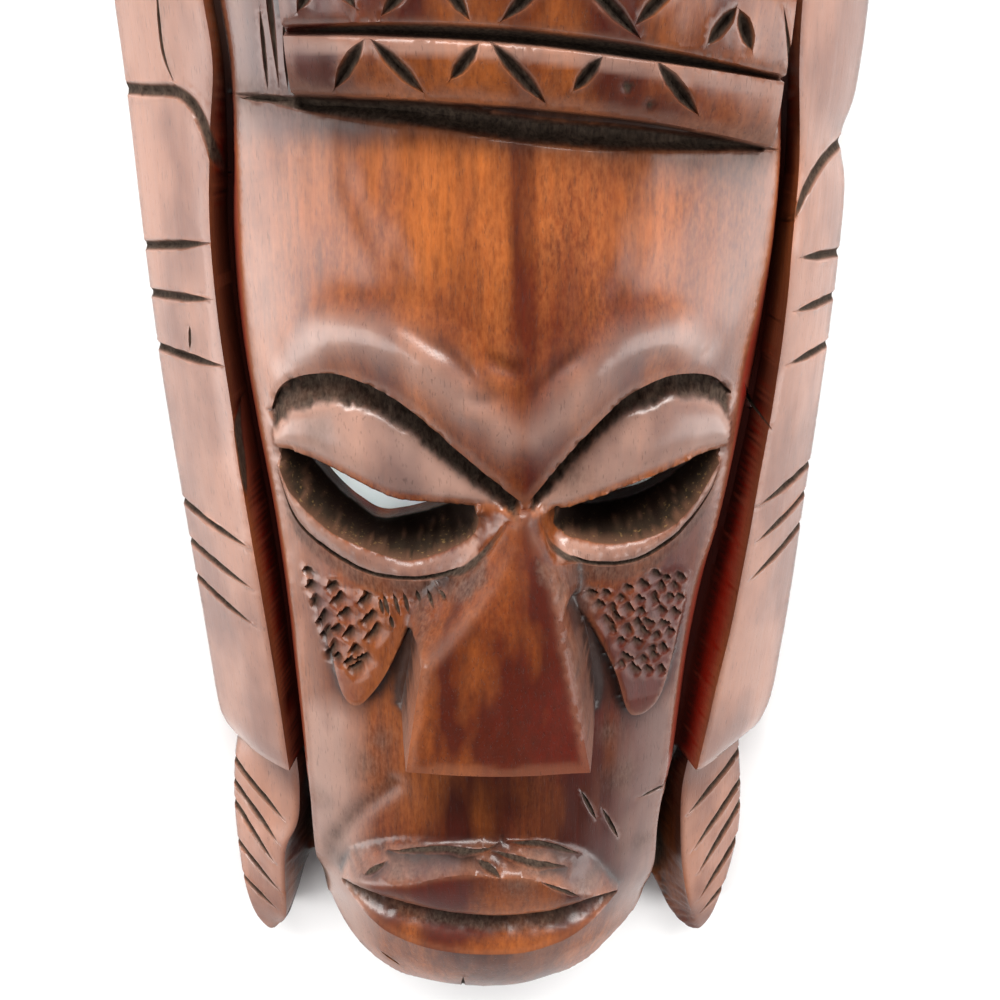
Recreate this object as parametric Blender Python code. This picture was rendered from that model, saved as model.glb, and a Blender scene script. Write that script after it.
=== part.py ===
"""A carved wooden face mask, made as one hollow-backed solid that lies on its back rim.

X runs across the face, Y from the chin up to the crown and Z out of the face. The flat back
rim lies at Z = 0, and the origin is the middle of the back.
"""

import bpy
import numpy as np
from mathutils import Vector
from mathutils.geometry import delaunay_2d_cdt
from mathutils.kdtree import KDTree

# Overall sizes of the carving, in metres
MASK_WIDTH = 0.182
MASK_HEIGHT = 0.400
MASK_DEPTH = 0.082

# Hollow back
HOLLOW_WIDTH = 0.130
HOLLOW_LENGTH = 0.325
HOLLOW_DEPTH = 0.034
HOLLOW_CENTRE_Y = 0.002
WALL_THICKNESS = 0.007
HANGING_LIP_WIDTH = 0.044
HANGING_LIP_HEIGHT = 0.012

# Knife work
STRIPE_WIDTH = 0.0028
STRIPE_DEPTH = 0.0020
NOTCH_WIDTH = 0.0032
NOTCH_DEPTH = 0.0022
LINE_WIDTH = 0.0016
LINE_DEPTH = 0.0010
CARVED_EDGE = 0.0008
CHEEK_RISE = 0.0050

# Length of the facets on the open face, on the back and along the carved lines
FACE_FACET = 0.0080
BACK_FACET = 0.0130
LINE_FACET = 0.0060
LIP_SLOPE = 0.0004
FRONT_WELD = 0.0002
BACK_WELD = 0.000001

# The carving is drawn in millimetres on a mask of this width, height and depth
DRAWING = np.array((182.0, 400.0, 82.0))
SCALE = np.array((MASK_WIDTH, MASK_HEIGHT, MASK_DEPTH)) / DRAWING
ACROSS, UP = 0, 1


def drawn(points):
    """Points of the drawing, x, y and height, in metres on this mask."""
    return np.array(points, dtype=float) * SCALE[:len(points[0])]


def lift(millimetres):
    """A height of the drawing in metres on this mask."""
    return millimetres * SCALE[2]


def curve(points, step=0.001, closed=False):
    """A smooth curve through points, as a polyline with steps of about one length."""
    knots = np.array(points, dtype=float)
    if closed:
        before, after = knots[-1:], knots[:2]
    else:
        before, after = 2 * knots[:1] - knots[1:2], 2 * knots[-1:] - knots[-2:-1]
    padded = np.vstack([before, knots, after])
    line = []
    for a, b, c, d in zip(padded, padded[1:], padded[2:], padded[3:]):
        count = max(2, int(round(np.linalg.norm(c - b) / step)))
        t = np.linspace(0.0, 1.0, count, endpoint=False)[:, None]
        line.append(0.5 * (2 * b + (c - a) * t + (2 * a - 5 * b + 4 * c - d) * t ** 2
                           + (3 * b - a - 3 * c + d) * t ** 3))
    if not closed:
        line.append(knots[-1:])
    return np.vstack(line)


def thinned(line, step):
    """A polyline with its vertices about one step apart and both ends kept."""
    lengths = np.linalg.norm(np.diff(line[:, :2], axis=0), axis=1)
    run = np.concatenate([[0.0], np.cumsum(lengths)])
    stops = np.linspace(0.0, run[-1], max(2, int(round(run[-1] / step)) + 1))
    return np.stack([np.interp(stops, run, line[:, k]) for k in range(2)], axis=1)


def nearest(line, at):
    """Distance of each place from a polyline, and the share of its length passed there."""
    starts, steps = line[:-1, :2], np.diff(line[:, :2], axis=0)
    lengths = np.linalg.norm(steps, axis=1)
    run = np.concatenate([[0.0], np.cumsum(lengths)])
    best = np.full(len(at), np.inf)
    share = np.zeros(len(at))
    for start, step, length, passed in zip(starts, steps, lengths, run):
        t = np.clip((at - start) @ step / length ** 2, 0.0, 1.0)
        gap = np.linalg.norm(at - start - t[:, None] * step, axis=1)
        closer = gap < best
        best[closer] = gap[closer]
        share[closer] = (passed + t[closer] * length) / run[-1]
    return best, share


def inside(loop, at):
    """Whether each place lies inside a closed polygon."""
    within = np.zeros(len(at), dtype=bool)
    for (x0, y0), (x1, y1) in zip(loop[:, :2], np.roll(loop[:, :2], -1, axis=0)):
        spans = (y0 > at[:, 1]) != (y1 > at[:, 1])
        crossing = x0 + (at[:, 1] - y0) * (x1 - x0) / np.where(spans, y1 - y0, 1.0)
        within ^= spans & (at[:, 0] < crossing)
    return within


def depth_inside(loop, at):
    """How far each place lies inside a closed polygon, below zero outside it."""
    gap = nearest(np.vstack([loop, loop[:1]]), at)[0]
    return np.where(inside(loop, at), gap, -gap)


def ramp(value, start, end):
    """Zero before start, one after end and straight between."""
    return np.clip((value - start) / (end - start), 0.0, 1.0)


def on_rail(rail, axis, along):
    """Side place and height of a rail where it passes given places along an axis."""
    return (np.interp(along, rail[:, axis], rail[:, 1 - axis]),
            np.interp(along, rail[:, axis], rail[:, 2]))


def loft(at, axis, rails, swells):
    """Height of a surface drawn over rails that run along an axis, lowest side first.

    Each swell is (ease, rise): how much the rise from one rail to the next is taken early,
    and how far the strip bulges in its middle, in metres.
    """
    along, beside = at[:, axis], at[:, 1 - axis]
    places = [on_rail(rail, axis, along) for rail in rails]
    height = places[0][1].copy()
    for (start, low), (end, high), (early, rise) in zip(places, places[1:], swells):
        share = np.clip((beside - start) / np.maximum(end - start, 1e-6), 0.0, 1.0)
        hump = share * (1.0 - share)
        strip = low + (high - low) * (share + early * hump) + 4.0 * rise * hump
        height = np.where(beside >= start, strip, height)
    return height


def between(at, axis, first, last):
    """Whether each place lies between two rails and within their length."""
    along, beside = at[:, axis], at[:, 1 - axis]
    low, high = on_rail(first, axis, along)[0], on_rail(last, axis, along)[0]
    start = max(first[0, axis], last[0, axis])
    end = min(first[-1, axis], last[-1, axis])
    return (beside > low) & (beside < high) & (along > start) & (along < end)


def laid(line, ground):
    """A line with its heights taken from a surface."""
    flat = line[:, :2]
    return np.column_stack([flat, ground(flat)])


# Outline, with the height of the edge of the carved face

LEFT_SIDE = [(3, 200, 17), (-30, 196.5, 17), (-58, 183, 17), (-78, 160, 17), (-88, 130, 16),
             (-90.6, 100, 15), (-90.6, 76, 15), (-91, 40, 15), (-91, 8, 15), (-89.6, -33, 15),
             (-88, -66, 15), (-87, -94, 15), (-86, -106, 15), (-82.8, -113.9, 14)]
LEFT_FLAP = [(-82.6, -114.9, 11), (-84.6, -126, 12), (-86.4, -143, 12), (-86.4, -160, 13),
             (-85.4, -176, 14), (-83, -189, 14), (-78.4, -195.6, 14), (-72.7, -192, 13),
             (-68.3, -181, 12), (-64.6, -169, 12), (-61.6, -162.6, 12)]
CHIN = [(-52.6, -162.5, 31), (-49.9, -171.3, 32), (-45.2, -180.6, 33), (-38.2, -189.5, 33),
        (-29.8, -195.6, 33), (-18, -199.3, 33), (-4, -200, 33), (12, -199, 33),
        (22.8, -194.6, 33), (32.1, -187.8, 33), (41, -177, 32), (44.8, -171.8, 31)]
RIGHT_FLAP = [(54, -173.3, 12), (56.4, -178, 12), (60.8, -187.6, 13), (66, -194, 14),
              (71.6, -195.8, 14), (75.4, -190, 14), (78.2, -179, 14), (80.6, -168, 13),
              (82.4, -153, 12), (81.6, -138, 12), (79.8, -123, 12), (79.2, -114.9, 11)]
RIGHT_SIDE = [(79.6, -113.9, 14), (84.2, -108.6, 15), (87, -99, 15), (88.2, -84, 15),
              (89.2, -64, 15), (89.8, -33, 15), (90.6, -8, 15), (91, 14, 15), (91, 38, 15),
              (90.2, 54, 15), (87.4, 65, 16), (90.2, 76, 15), (90.6, 100, 15),
              (88.5, 130, 16), (79, 160, 17), (61, 183, 17), (34, 196.5, 17), (3, 200, 17)]

# Side rails that run up the mask, from the edge to the middle of the face

LEFT_CREST = [(-64, 124, 36), (-63.4, 100, 38), (-62.4, 82, 38), (-65, 66, 36.5), (-67.4, 46, 36),
              (-67.8, 23, 36), (-66.8, 0, 36), (-65.8, -25, 36), (-64.2, -50, 36),
              (-62.6, -80, 35), (-61.4, -113.9, 34)]
LEFT_FOOT = [(-62.2, 124, 34), (-61.8, 100, 35), (-60.8, 82, 34), (-63.6, 62, 27),
             (-66.4, 44, 22.5), (-66.8, 22, 22), (-65.2, -3, 22), (-63, -30, 22),
             (-61.4, -55, 22), (-60.4, -85, 22), (-59.8, -113.9, 22)]
LEFT_CHANNEL = [(-61, 124, 34), (-60.6, 100, 35), (-59.4, 82, 34), (-62, 62, 27),
                (-65.4, 43, 22), (-65.8, 21, 21.5), (-64, -3, 21.5), (-61.6, -30, 21.5),
                (-60.2, -55, 21.5), (-59.4, -85, 21.5), (-58.6, -113.9, 21)]
LEFT_FACE_EDGE = [(-58, 124, 40), (-57.6, 100, 41), (-57, 82, 40), (-58.4, 66, 38),
                  (-60, 44, 37), (-60.6, 23, 37), (-59.6, 0, 37), (-57.2, -25, 37),
                  (-55.7, -50, 37), (-55, -82, 37), (-54.9, -112, 37), (-55.2, -140, 36),
                  (-54.4, -152, 34), (-52.8, -162, 32), (-49.9, -171.3, 32),
                  (-45.2, -180.6, 33), (-38.2, -189.5, 33), (-29.8, -195.6, 33),
                  (-10, -199.9, 33)]
MIDDLE = [(3, 124, 58), (3.8, 95, 56), (4.6, 74, 53.5), (5, 58, 55), (5.4, 40, 58),
          (6, 22, 59.5), (7, 4, 59), (7.6, -14, 56), (5, -35, 51), (2, -60, 49), (0, -85, 49),
          (-2, -112, 51), (-3.4, -138, 53), (-3.6, -162, 52.5), (-3, -178, 48.5),
          (-2.6, -191, 42), (-2, -200, 34)]
RIGHT_FACE_EDGE = [(60, 124, 40), (61.6, 100, 41), (63, 82, 40), (66.4, 62, 38), (66.8, 42, 37),
                   (64.8, 24, 37), (62.8, 10, 37), (61.8, -12, 37), (59.4, -33, 37),
                   (56, -47, 37), (54, -62, 37), (52.4, -85, 37), (51.4, -108, 37),
                   (50, -130, 36.5), (50.2, -148, 34.5), (48, -161, 32), (44.8, -171.8, 31),
                   (41, -177, 32), (32.1, -187.8, 33), (22.8, -194.6, 33), (6, -199.9, 33)]
RIGHT_CHANNEL = [(63.4, 124, 34), (64.8, 100, 36), (66, 82, 35), (69.6, 58, 27),
                 (70.9, 38, 22), (70, 12, 21.5), (67.8, -4, 21.5), (65.2, -23, 21.5),
                 (62, -44, 21.5), (58.6, -70, 21.5), (57.2, -92, 21.5), (56.2, -113.9, 21)]
RIGHT_FOOT = [(64.4, 124, 34), (66, 100, 36), (67.2, 82, 35), (70.8, 58, 27.5),
              (71.6, 38, 23), (71, 12, 22), (69.6, -4, 22), (67.4, -23, 22),
              (64.6, -44, 22), (61.4, -70, 22), (59.2, -92, 22), (57.6, -113.9, 22)]
RIGHT_CREST = [(66.4, 124, 36), (68, 100, 38), (69, 82, 38), (71.8, 60, 36.5), (72.4, 40, 36),
               (72.6, 22, 36), (71.8, 0, 36), (70.4, -18, 36), (69, -38, 36),
               (66.8, -64, 35.5), (64.4, -84, 35), (61.2, -113.9, 34)]

# The same rails below the lappets, where each side ends in a lower flap

LEFT_FLAP_CREST = [(-61, -114.9, 25), (-61.2, -128, 24), (-62.8, -141, 24), (-67.4, -152, 24),
                   (-68.8, -166, 24), (-70, -181, 22), (-74, -190, 17), (-78, -195.2, 14.5)]
LEFT_FLAP_FOOT = [(-59.6, -114.9, 20), (-59.8, -128, 15), (-61, -141, 9), (-62, -152, 9),
                  (-63.6, -163, 12), (-66.4, -174, 12), (-70.6, -186, 12.5), (-75, -193.6, 13),
                  (-77.6, -195.2, 14)]
LEFT_FLAP_CHANNEL = [(-58.4, -114.9, 20), (-57.8, -128, 15), (-57.4, -141, 9),
                     (-56.6, -152, 8), (-54.8, -162, 11), (-52.4, -171, 11)]
RIGHT_FLAP_CREST = [(60.4, -114.9, 25), (59.4, -128, 24), (59.8, -142, 24),
                    (61.4, -158, 24), (64.6, -174, 23), (68, -185, 19), (71.2, -195.2, 14.5)]
RIGHT_FLAP_FOOT = [(57.4, -114.9, 20), (56.6, -128, 14), (56, -142, 9), (55.6, -158, 10),
                   (56.4, -172, 12), (60.4, -185, 12.5), (66, -193.4, 13.5),
                   (70.6, -195.2, 14)]
RIGHT_FLAP_CHANNEL = [(56, -114.9, 20), (54, -128, 14), (53, -142, 9), (51.4, -156, 9),
                      (48.6, -168, 10), (46, -176, 11)]

# Brows and eyes, each rail running across from the outer or left corner to the right

LEFT_BROW = [(-55.6, 1.5), (-53, 7), (-48.6, 10.6), (-41, 12.8), (-33.4, 12.4), (-21.8, 7.6),
             (-10.4, -2), (-0.6, -11), (6.6, -17.4)]
LEFT_LID_TOP = [(-55.6, -3.5, 39.5), (-50.8, 2.6, 43), (-42.6, 6.2, 45.5), (-34.8, 6.2, 47.5),
                (-22.8, 1.6, 48.5), (-10.6, -8.6, 49.5), (-0.6, -16.6, 50), (6.6, -20.4, 51)]
LEFT_LID_EDGE = [(-55.6, -9, 39.5), (-52, -8.6, 42), (-47.2, -9.2, 44.5), (-40.2, -11.6, 47), (-32.4, -15.4, 48.5),
                 (-24.4, -18.9, 49.5), (-13.1, -20.2, 49.5), (-3, -21.2, 49.5), (6.6, -21.6, 51)]
LEFT_HOLE = [(-50.4, -11.6, 31), (-46.8, -17.6, 30), (-40, -26, 30), (-31.6, -32.4, 30),
             (-24.6, -32.2, 30), (-17.4, -30.4, 30), (-10.6, -27.6, 31), (-6.4, -24, 34)]
LEFT_SOCKET = [(-54.6, -13, 42), (-51.5, -21, 43), (-41.9, -30.6, 44.5), (-31.8, -36, 45.5),
               (-16, -41, 46.5), (-8, -38.4, 47.5), (-3.8, -32.6, 48), (-3.2, -25, 48.5)]
LEFT_RIM = [(-55.8, -15, 40.5), (-51.6, -28.6, 41.5), (-43.4, -36.2, 43.5), (-32, -41.6, 45),
            (-14.8, -44, 46), (-4, -39.4, 47.5), (3.4, -31.4, 49)]

RIGHT_BROW = [(9.4, -17.4), (14.5, -10), (21.6, -1), (30.8, 8), (40, 12.2), (47.2, 12.6),
              (54.4, 10.6), (60.2, 5.6)]
RIGHT_LID_TOP = [(9.4, -20.4, 51), (20.6, -7.4, 49), (31.6, 3.4, 47.5), (41.2, 7, 46),
                 (48.4, 7.6, 44), (56, 4.8, 41.5), (60.2, -0.5, 39.5)]
RIGHT_LID_EDGE = [(9.4, -21.6, 51), (17.1, -21.8, 49.5), (26, -19, 49.5), (36.9, -15, 48),
                  (46.6, -11.6, 46), (52.6, -9.2, 44), (60.2, -9, 39.5)]
RIGHT_HOLE = [(18.6, -24, 34), (22.4, -28, 31), (31.9, -27.8, 30), (42.6, -24.2, 30),
              (51.2, -17.6, 30), (54.4, -12, 31)]
RIGHT_SOCKET = [(16.2, -24.4, 48.5), (16.6, -28.6, 48), (27.9, -32.8, 46.5), (38.2, -32.6, 45),
                (46.4, -29.4, 44), (53, -22, 43), (58, -12.4, 42)]
RIGHT_RIM = [(10.8, -30.4, 49.5), (17.4, -34, 48), (28, -37.8, 46), (38.3, -37.4, 44.5),
             (48.4, -31.4, 43), (55.8, -22, 41), (58.8, -14.4, 40.5)]

BROW_RIDGES = [[(-51, 12), (-42, 21), (-32, 23.5), (-20, 20.5), (-8, 11), (4, 0)],
               [(11, 0), (20, 11), (30, 20.5), (42, 22.5), (52, 17.5)]]

# Nose, cheeks and mouth

LEFT_NOSE_BASE = [(3, -20), (1, -27), (-10.4, -43), (-20, -54), (-22.8, -68), (-25, -79), (-26.2, -87)]
LEFT_NOSE_EDGE = [(4, -20, 55), (-5.2, -30, 59), (-14, -38, 62.5), (-16.6, -52, 67),
                  (-18.8, -65, 72), (-21, -79, 78), (-22.4, -87, 80)]
RIGHT_NOSE_EDGE = [(10.2, -20, 55), (13.6, -28, 58), (16.4, -37, 62), (18, -50, 66.5),
                   (20.8, -64, 71.5), (24, -79, 78), (25.6, -87, 80)]
RIGHT_NOSE_BASE = [(11.4, -20), (13.6, -27), (17.8, -40), (25, -57), (28, -74), (28.6, -87)]
NOSE_FOOT_Y = -83.5
NOSE_TIP_Y = -80.5

LEFT_CHEEK = [(-50, -46), (-47.7, -57), (-44.6, -70), (-42.2, -78.6), (-39, -82), (-35, -80.6),
              (-28.4, -71.4), (-22, -57), (-19.4, -50), (-30, -49), (-41, -47.4)]
RIGHT_CHEEK = [(21, -47), (26.8, -58.4), (32.6, -71), (36.6, -83.4), (40.4, -86), (45.2, -84),
               (48.6, -77), (51.6, -62), (53.6, -44), (46, -41), (32, -45)]
CHEEK_TOP_Y, CHEEK_TIP_Y = -46.0, -80.0

LIP_TOP = [(-46.4, -144), (-41.5, -133.4), (-27, -126.2), (-12.5, -124.2), (2, -122.8),
           (16.4, -126), (27.8, -132.4), (38.4, -149)]
LIP_CREST = [(-46.4, -144, 45), (-38.8, -135.6, 54), (-26.1, -129, 60), (-12, -127.6, 61.5),
             (-1, -127.4, 61.5), (9, -128.8, 61), (19, -131.8, 59.5), (29, -138, 54),
             (38.4, -149, 45)]
UPPER_LIP_EDGE = [(-46.4, -144, 45), (-38, -141, 53), (-27, -141.8, 57), (-12.6, -145, 58),
                  (2, -146.4, 58), (16.6, -145.4, 57), (29, -144.4, 53), (38.4, -149, 45)]
MOUTH_GAP = [(-46.4, -144, 44), (-38, -143.6, 47), (-27, -145.8, 49), (-12.6, -149, 50),
             (4, -150.2, 50), (18, -149, 50), (29, -147.4, 47), (38.4, -149, 44)]
LOWER_LIP_EDGE = [(-46.4, -144, 44), (-38, -146.6, 49), (-27, -150, 52),
                  (-12.6, -153.4, 53), (5, -154.6, 53), (19, -153, 52.5), (29, -150.6, 49.5),
                  (38.4, -149, 44)]
LOWER_LIP_FOOT = [(-46.4, -144, 45), (-37, -151, 53.5), (-27, -157, 56.5), (-12.6, -161.2, 57.5),
                  (5, -161.8, 57.5), (19, -158.6, 56.5), (29, -153.6, 53), (38.4, -149, 45)]
CHIN_TOP = [(-46.4, -144), (-37.6, -152.4), (-27.2, -158.6), (-12.6, -162.7), (5, -163.3),
            (19.2, -160.2), (29.6, -155), (38.4, -149)]

# Headdress: a raised block with straight ends and bands of notches, and a plain cap above

BLOCK_LEFT, BLOCK_RIGHT = -42.4, 62.0
BLOCK_MIDDLE, BLOCK_FALL = 5.0, 0.0036
CAP_Y, CAP_CENTRE_Y, CAP_RISE, CAP_EDGE = 121.0, 112.0, 44.0, 17.0

FOREHEAD_END = [(-43.4, 71.6), (-24, 70.4), (-8, 67.6), (7, 65), (24, 63.6), (44, 63.4),
                (63, 62.4)]
BAND_LINES = [
    ([(-43.4, 72.6), (-24, 71.8), (7, 69), (35, 66.8), (63, 62.9)], 50.5),
    ([(-43.4, 74.2), (-24, 73.4), (7, 71.6), (35, 68.6), (63, 63.2)], 51.5),
    ([(-43.4, 75.2), (-24, 74.3), (7, 72.4), (35, 69.3), (63, 64)], 61),
    ([(-43.4, 85.8), (-18, 84.8), (7, 83.4), (34, 80.6), (63, 77)], 65),
    ([(-43.4, 87), (-18, 86.6), (7, 85.2), (34, 82), (63, 77.6)], 61),
    ([(-43.4, 88), (-18, 87.9), (7, 86.7), (34, 83.4), (63, 78.3)], 66),
    ([(-43.4, 103), (-18, 102.6), (7, 101.4), (34, 98), (63, 93)], 68.5),
    ([(-43.4, 104), (-18, 103.8), (7, 102.8), (34, 99.4), (63, 94.2)], 64),
    ([(-43.4, 105), (-18, 105), (7, 104.2), (34, 100.8), (63, 95.4)], 67.5),
    ([(-43.4, 118), (-18, 118), (7, 118), (34, 116.5), (63, 113)], 66.5),
    ([(-43.4, 119.4), (-18, 119.4), (7, 119.4), (34, 119), (63, 118)], 61),
]

# Straight cuts, from x, y to x, y: stripes of the sides, notches of the bands and thin lines

STRIPES = [(-96, 37.6, -67.6, 41.6), (-96, 25.7, -68.8, 27.9), (-96, 11.9, -67.2, 11.2),
           (-96, -31.5, -65.8, -39.4), (-96, -43.4, -66.6, -52.3), (-96, -54.3, -67.6, -64.5),
           (96, 36.2, 75, 37.8), (96, 25.5, 75.4, 24.6), (96, 13, 75.4, 11.1),
           (96, -20, 71.2, -27.1), (96, -27.8, 71.8, -38.4), (96, -36.8, 71.2, -50.2),
           (-89.6, -120.1, -67, -142.5), (-90.8, -128.1, -69.7, -151.3),
           (-92, -135.4, -71.7, -159.4), (-93.2, -151.5, -70.6, -170.7),
           (-91, -167.9, -73.3, -180), (85.5, -116.2, 61.7, -139.2),
           (87.9, -125.1, 64.7, -154.2), (88, -133.1, 67.4, -164.5),
           (88.6, -147.4, 68.9, -176), (86.6, -168.4, 70.1, -184.5)]
NOTCHES = [(-32.4, 75.9, -25.3, 84.8), (-13.6, 75, -23.7, 84.8), (-8.1, 77.4, -2.2, 84),
           (11.4, 73.1, 0, 84.4), (16.8, 75.3, 22.4, 81.6), (43.5, 70.8, 33.6, 80.8),
           (-21.4, 89, -12.4, 98), (-3.9, 88.1, -11.2, 98.2), (2.2, 87.9, 13.6, 97.6),
           (29.7, 85.1, 15.4, 97.6), (28.6, 87.4, 37.4, 96), (43.7, 83.8, 49, 90.8),
           (53.5, 82.9, 49.6, 90.4), (-38.6, 90, -33, 98.4), (-26.4, 90.4, -32, 98.6),
           (-36, 106, -28, 115.6), (-18.6, 106.4, -27, 115.8), (-12, 106.2, -4, 115.4),
           (5.6, 105.8, -3, 115.6), (12.6, 104.6, 20, 113.6), (29, 102.6, 21, 113.6),
           (36, 101.8, 43, 111.4), (52, 98.6, 44, 111)]
LINES = [(-80.9, 75.7, -72.7, 74.8), (-91, 76.4, -80.9, 75.7), (-72.7, 74.8, -68.6, 69.4),
         (-68.6, 69.4, -63.8, 55), (92, 66, 84.5, 65.6), (84.5, 65.6, 79.4, 60.4),
         (79.4, 60.4, 74.6, 52), (74.6, 52, 70.8, 40), (-56, 73.9, -43, 73.8),
         (-47.6, 118, -46.6, 76.4)]


def rails_up():
    """The rails that run up the mask, from its left edge to its right one."""
    joined = [(LEFT_SIDE[4:], LEFT_FLAP[:7]), (LEFT_CREST, LEFT_FLAP_CREST),
              (LEFT_FOOT, LEFT_FLAP_FOOT), (LEFT_CHANNEL, LEFT_FLAP_CHANNEL),
              (LEFT_FACE_EDGE,), (MIDDLE,), (RIGHT_FACE_EDGE,),
              (RIGHT_CHANNEL, RIGHT_FLAP_CHANNEL), (RIGHT_FOOT, RIGHT_FLAP_FOOT),
              (RIGHT_CREST, RIGHT_FLAP_CREST), (RIGHT_SIDE[:14], RIGHT_FLAP[4:])]
    rails = []
    for pieces in joined:
        rail = np.vstack([curve(drawn(piece)) for piece in pieces])
        rails.append(rail[np.argsort(rail[:, UP], kind="stable")])
    return rails


RAILS = rails_up()
OUTLINE = [curve(drawn(side))[:, :2] for side in (LEFT_SIDE, LEFT_FLAP, CHIN, RIGHT_FLAP,
                                                  RIGHT_SIDE)]


def ground(at):
    """The sides and the face before its features are carved, and the cap above them."""
    face = loft(at, UP, RAILS, [(0.3, 0.0), (0.0, 0.0), (0.0, 0.0), (0.5, 0.0), (0.95, 0.0),
                                (-0.95, 0.0), (-0.5, 0.0), (0.0, 0.0), (0.0, 0.0), (-0.3, 0.0)])
    reach = drawn([(91, 200 - CAP_CENTRE_Y)])[0]
    middle = drawn([(0, CAP_CENTRE_Y)])[0]
    rest = np.clip(1.0 - (((at - middle) / reach) ** 2).sum(axis=1), 0.0, 1.0)
    cap = lift(CAP_EDGE) + lift(CAP_RISE) * rest ** 0.9
    over = ramp(at[:, UP], CAP_Y * SCALE[1], CAP_Y * SCALE[1] + CARVED_EDGE)
    return face + (cap - face) * over


def browed(at):
    """The ground with the two swollen brow ridges on it."""
    height = ground(at)
    for ridge in BROW_RIDGES:
        gap, share = nearest(curve(drawn(ridge), 0.004), at)
        height += lift(3.2) * np.exp(-(gap / 0.0075) ** 2) * np.sin(np.pi * (0.12 + 0.76 * share))
    return height


def lowered(line, by):
    """A line moved down the face, towards the chin."""
    return line - np.array((0.0, by, 0.0))[:line.shape[1]]


def clipped(line, start, end):
    """The part of a line between two places across the mask."""
    return line[(line[:, ACROSS] > start) & (line[:, ACROSS] < end)]


def make_eye(brow, lid_top, lid_edge, hole, socket, rim):
    """The curves of one eye in metres, with its socket and its opening as closed loops."""
    eye = {"brow": laid(curve(drawn(brow)), browed), "lid_top": curve(drawn(lid_top)),
           "lid_edge": curve(drawn(lid_edge)), "hole": curve(drawn(hole)),
           "socket": curve(drawn(socket)), "rim": laid(curve(drawn(rim)), browed)}
    eye["brow_foot"] = lowered(eye["brow"], CARVED_EDGE)
    eye["brow_foot"][:, 2] = np.interp(eye["brow_foot"][:, 0], eye["lid_top"][:, 0],
                                       eye["lid_top"][:, 2]) - lift(1.5)
    for name, lower in (("pocket", eye["socket"]), ("opening", eye["hole"])):
        above = clipped(eye["lid_edge"], lower[:, 0].min(), lower[:, 0].max())
        eye[name] = np.vstack([lower, above[::-1]])
    return eye


EYES = [make_eye(LEFT_BROW, LEFT_LID_TOP, LEFT_LID_EDGE, LEFT_HOLE, LEFT_SOCKET, LEFT_RIM),
        make_eye(RIGHT_BROW, RIGHT_LID_TOP, RIGHT_LID_EDGE, RIGHT_HOLE, RIGHT_SOCKET, RIGHT_RIM)]


def carve_eye(height, at, eye):
    """Sink the lid under its brow, the socket under the lid and the rim below it."""
    lid_rails = [eye["lid_edge"], eye["lid_top"], eye["brow_foot"], eye["brow"]]
    lid = loft(at, ACROSS, lid_rails, [(0.0, 0.0022), (0.0, 0.0), (0.0, 0.0)])
    height = np.where(between(at, ACROSS, lid_rails[0], lid_rails[-1]), lid, height)
    rim = loft(at, ACROSS, [eye["rim"], eye["socket"]], [(0.0, 0.0008)])
    height = np.where(between(at, ACROSS, eye["rim"], eye["socket"]), rim, height)
    within = inside(eye["pocket"], at)
    edge, to_edge = on_rail(eye["socket"], ACROSS, at[:, 0])[1], nearest(eye["socket"], at)[0]
    floor, to_hole = on_rail(eye["hole"], ACROSS, at[:, 0])[1], nearest(eye["hole"], at)[0]
    sunk = (to_edge / np.maximum(to_edge + to_hole, 1e-6)) ** 0.8
    slope = edge + (floor - edge) * sunk
    lid_height = on_rail(eye["lid_edge"], ACROSS, at[:, 0])[1]
    cliff = ramp(nearest(eye["lid_edge"], at)[0], 0.0, CARVED_EDGE)
    return np.where(within, lid_height + (slope - lid_height) * cliff, height)


def carve_cheek(height, at, cheek):
    """Raise a cheek more and more down to its tip."""
    step = ramp(depth_inside(cheek, at), 0.0, CARVED_EDGE)
    return height + CHEEK_RISE * step * ramp(at[:, UP], CHEEK_TOP_Y * SCALE[1],
                                             CHEEK_TIP_Y * SCALE[1])


CHEEKS = [curve(drawn(line), closed=True) for line in (LEFT_CHEEK, RIGHT_CHEEK)]


def noseless(at):
    """The face with its brows, eyes and cheeks."""
    height = browed(at)
    for eye in EYES:
        height = carve_eye(height, at, eye)
    for cheek in CHEEKS:
        height = carve_cheek(height, at, cheek)
    return height


NOSE = [curve(drawn(line))[::-1] for line in (LEFT_NOSE_BASE, LEFT_NOSE_EDGE, RIGHT_NOSE_EDGE,
                                               RIGHT_NOSE_BASE)]
NOSE[0], NOSE[3] = laid(NOSE[0], noseless), laid(NOSE[3], noseless)


def carve_nose(height, at):
    """Stand the wedge of the nose on the face, cut off straight below."""
    nose = loft(at, UP, NOSE, [(0.2, 0.0), (0.0, 0.0015), (-0.2, 0.0)])
    shown = ramp(at[:, UP], NOSE_FOOT_Y * SCALE[1], NOSE_TIP_Y * SCALE[1])
    raised = np.maximum(height, height + (nose - height) * shown)
    return np.where(between(at, UP, NOSE[0], NOSE[3]), raised, height)


def face(at):
    """The face with its nose, before the mouth and the headdress."""
    return carve_nose(noseless(at), at)


MOUTH = [laid(curve(drawn(CHIN_TOP)), face)]
MOUTH += [curve(drawn(line)) for line in (LOWER_LIP_FOOT, LOWER_LIP_EDGE, MOUTH_GAP,
                                          UPPER_LIP_EDGE, LIP_CREST)]
MOUTH += [laid(curve(drawn(LIP_TOP)), face)]


def band_line(points, level):
    """A line across the headdress block, falling away to both sides of its middle."""
    line = curve(drawn(points))
    aside = line[:, 0] / SCALE[0] - BLOCK_MIDDLE
    return np.column_stack([line, lift(level - BLOCK_FALL * aside ** 2)])


BLOCK = [laid(curve(drawn(FOREHEAD_END)), face)]
BLOCK += [band_line(points, level) for points, level in BAND_LINES]


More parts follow.
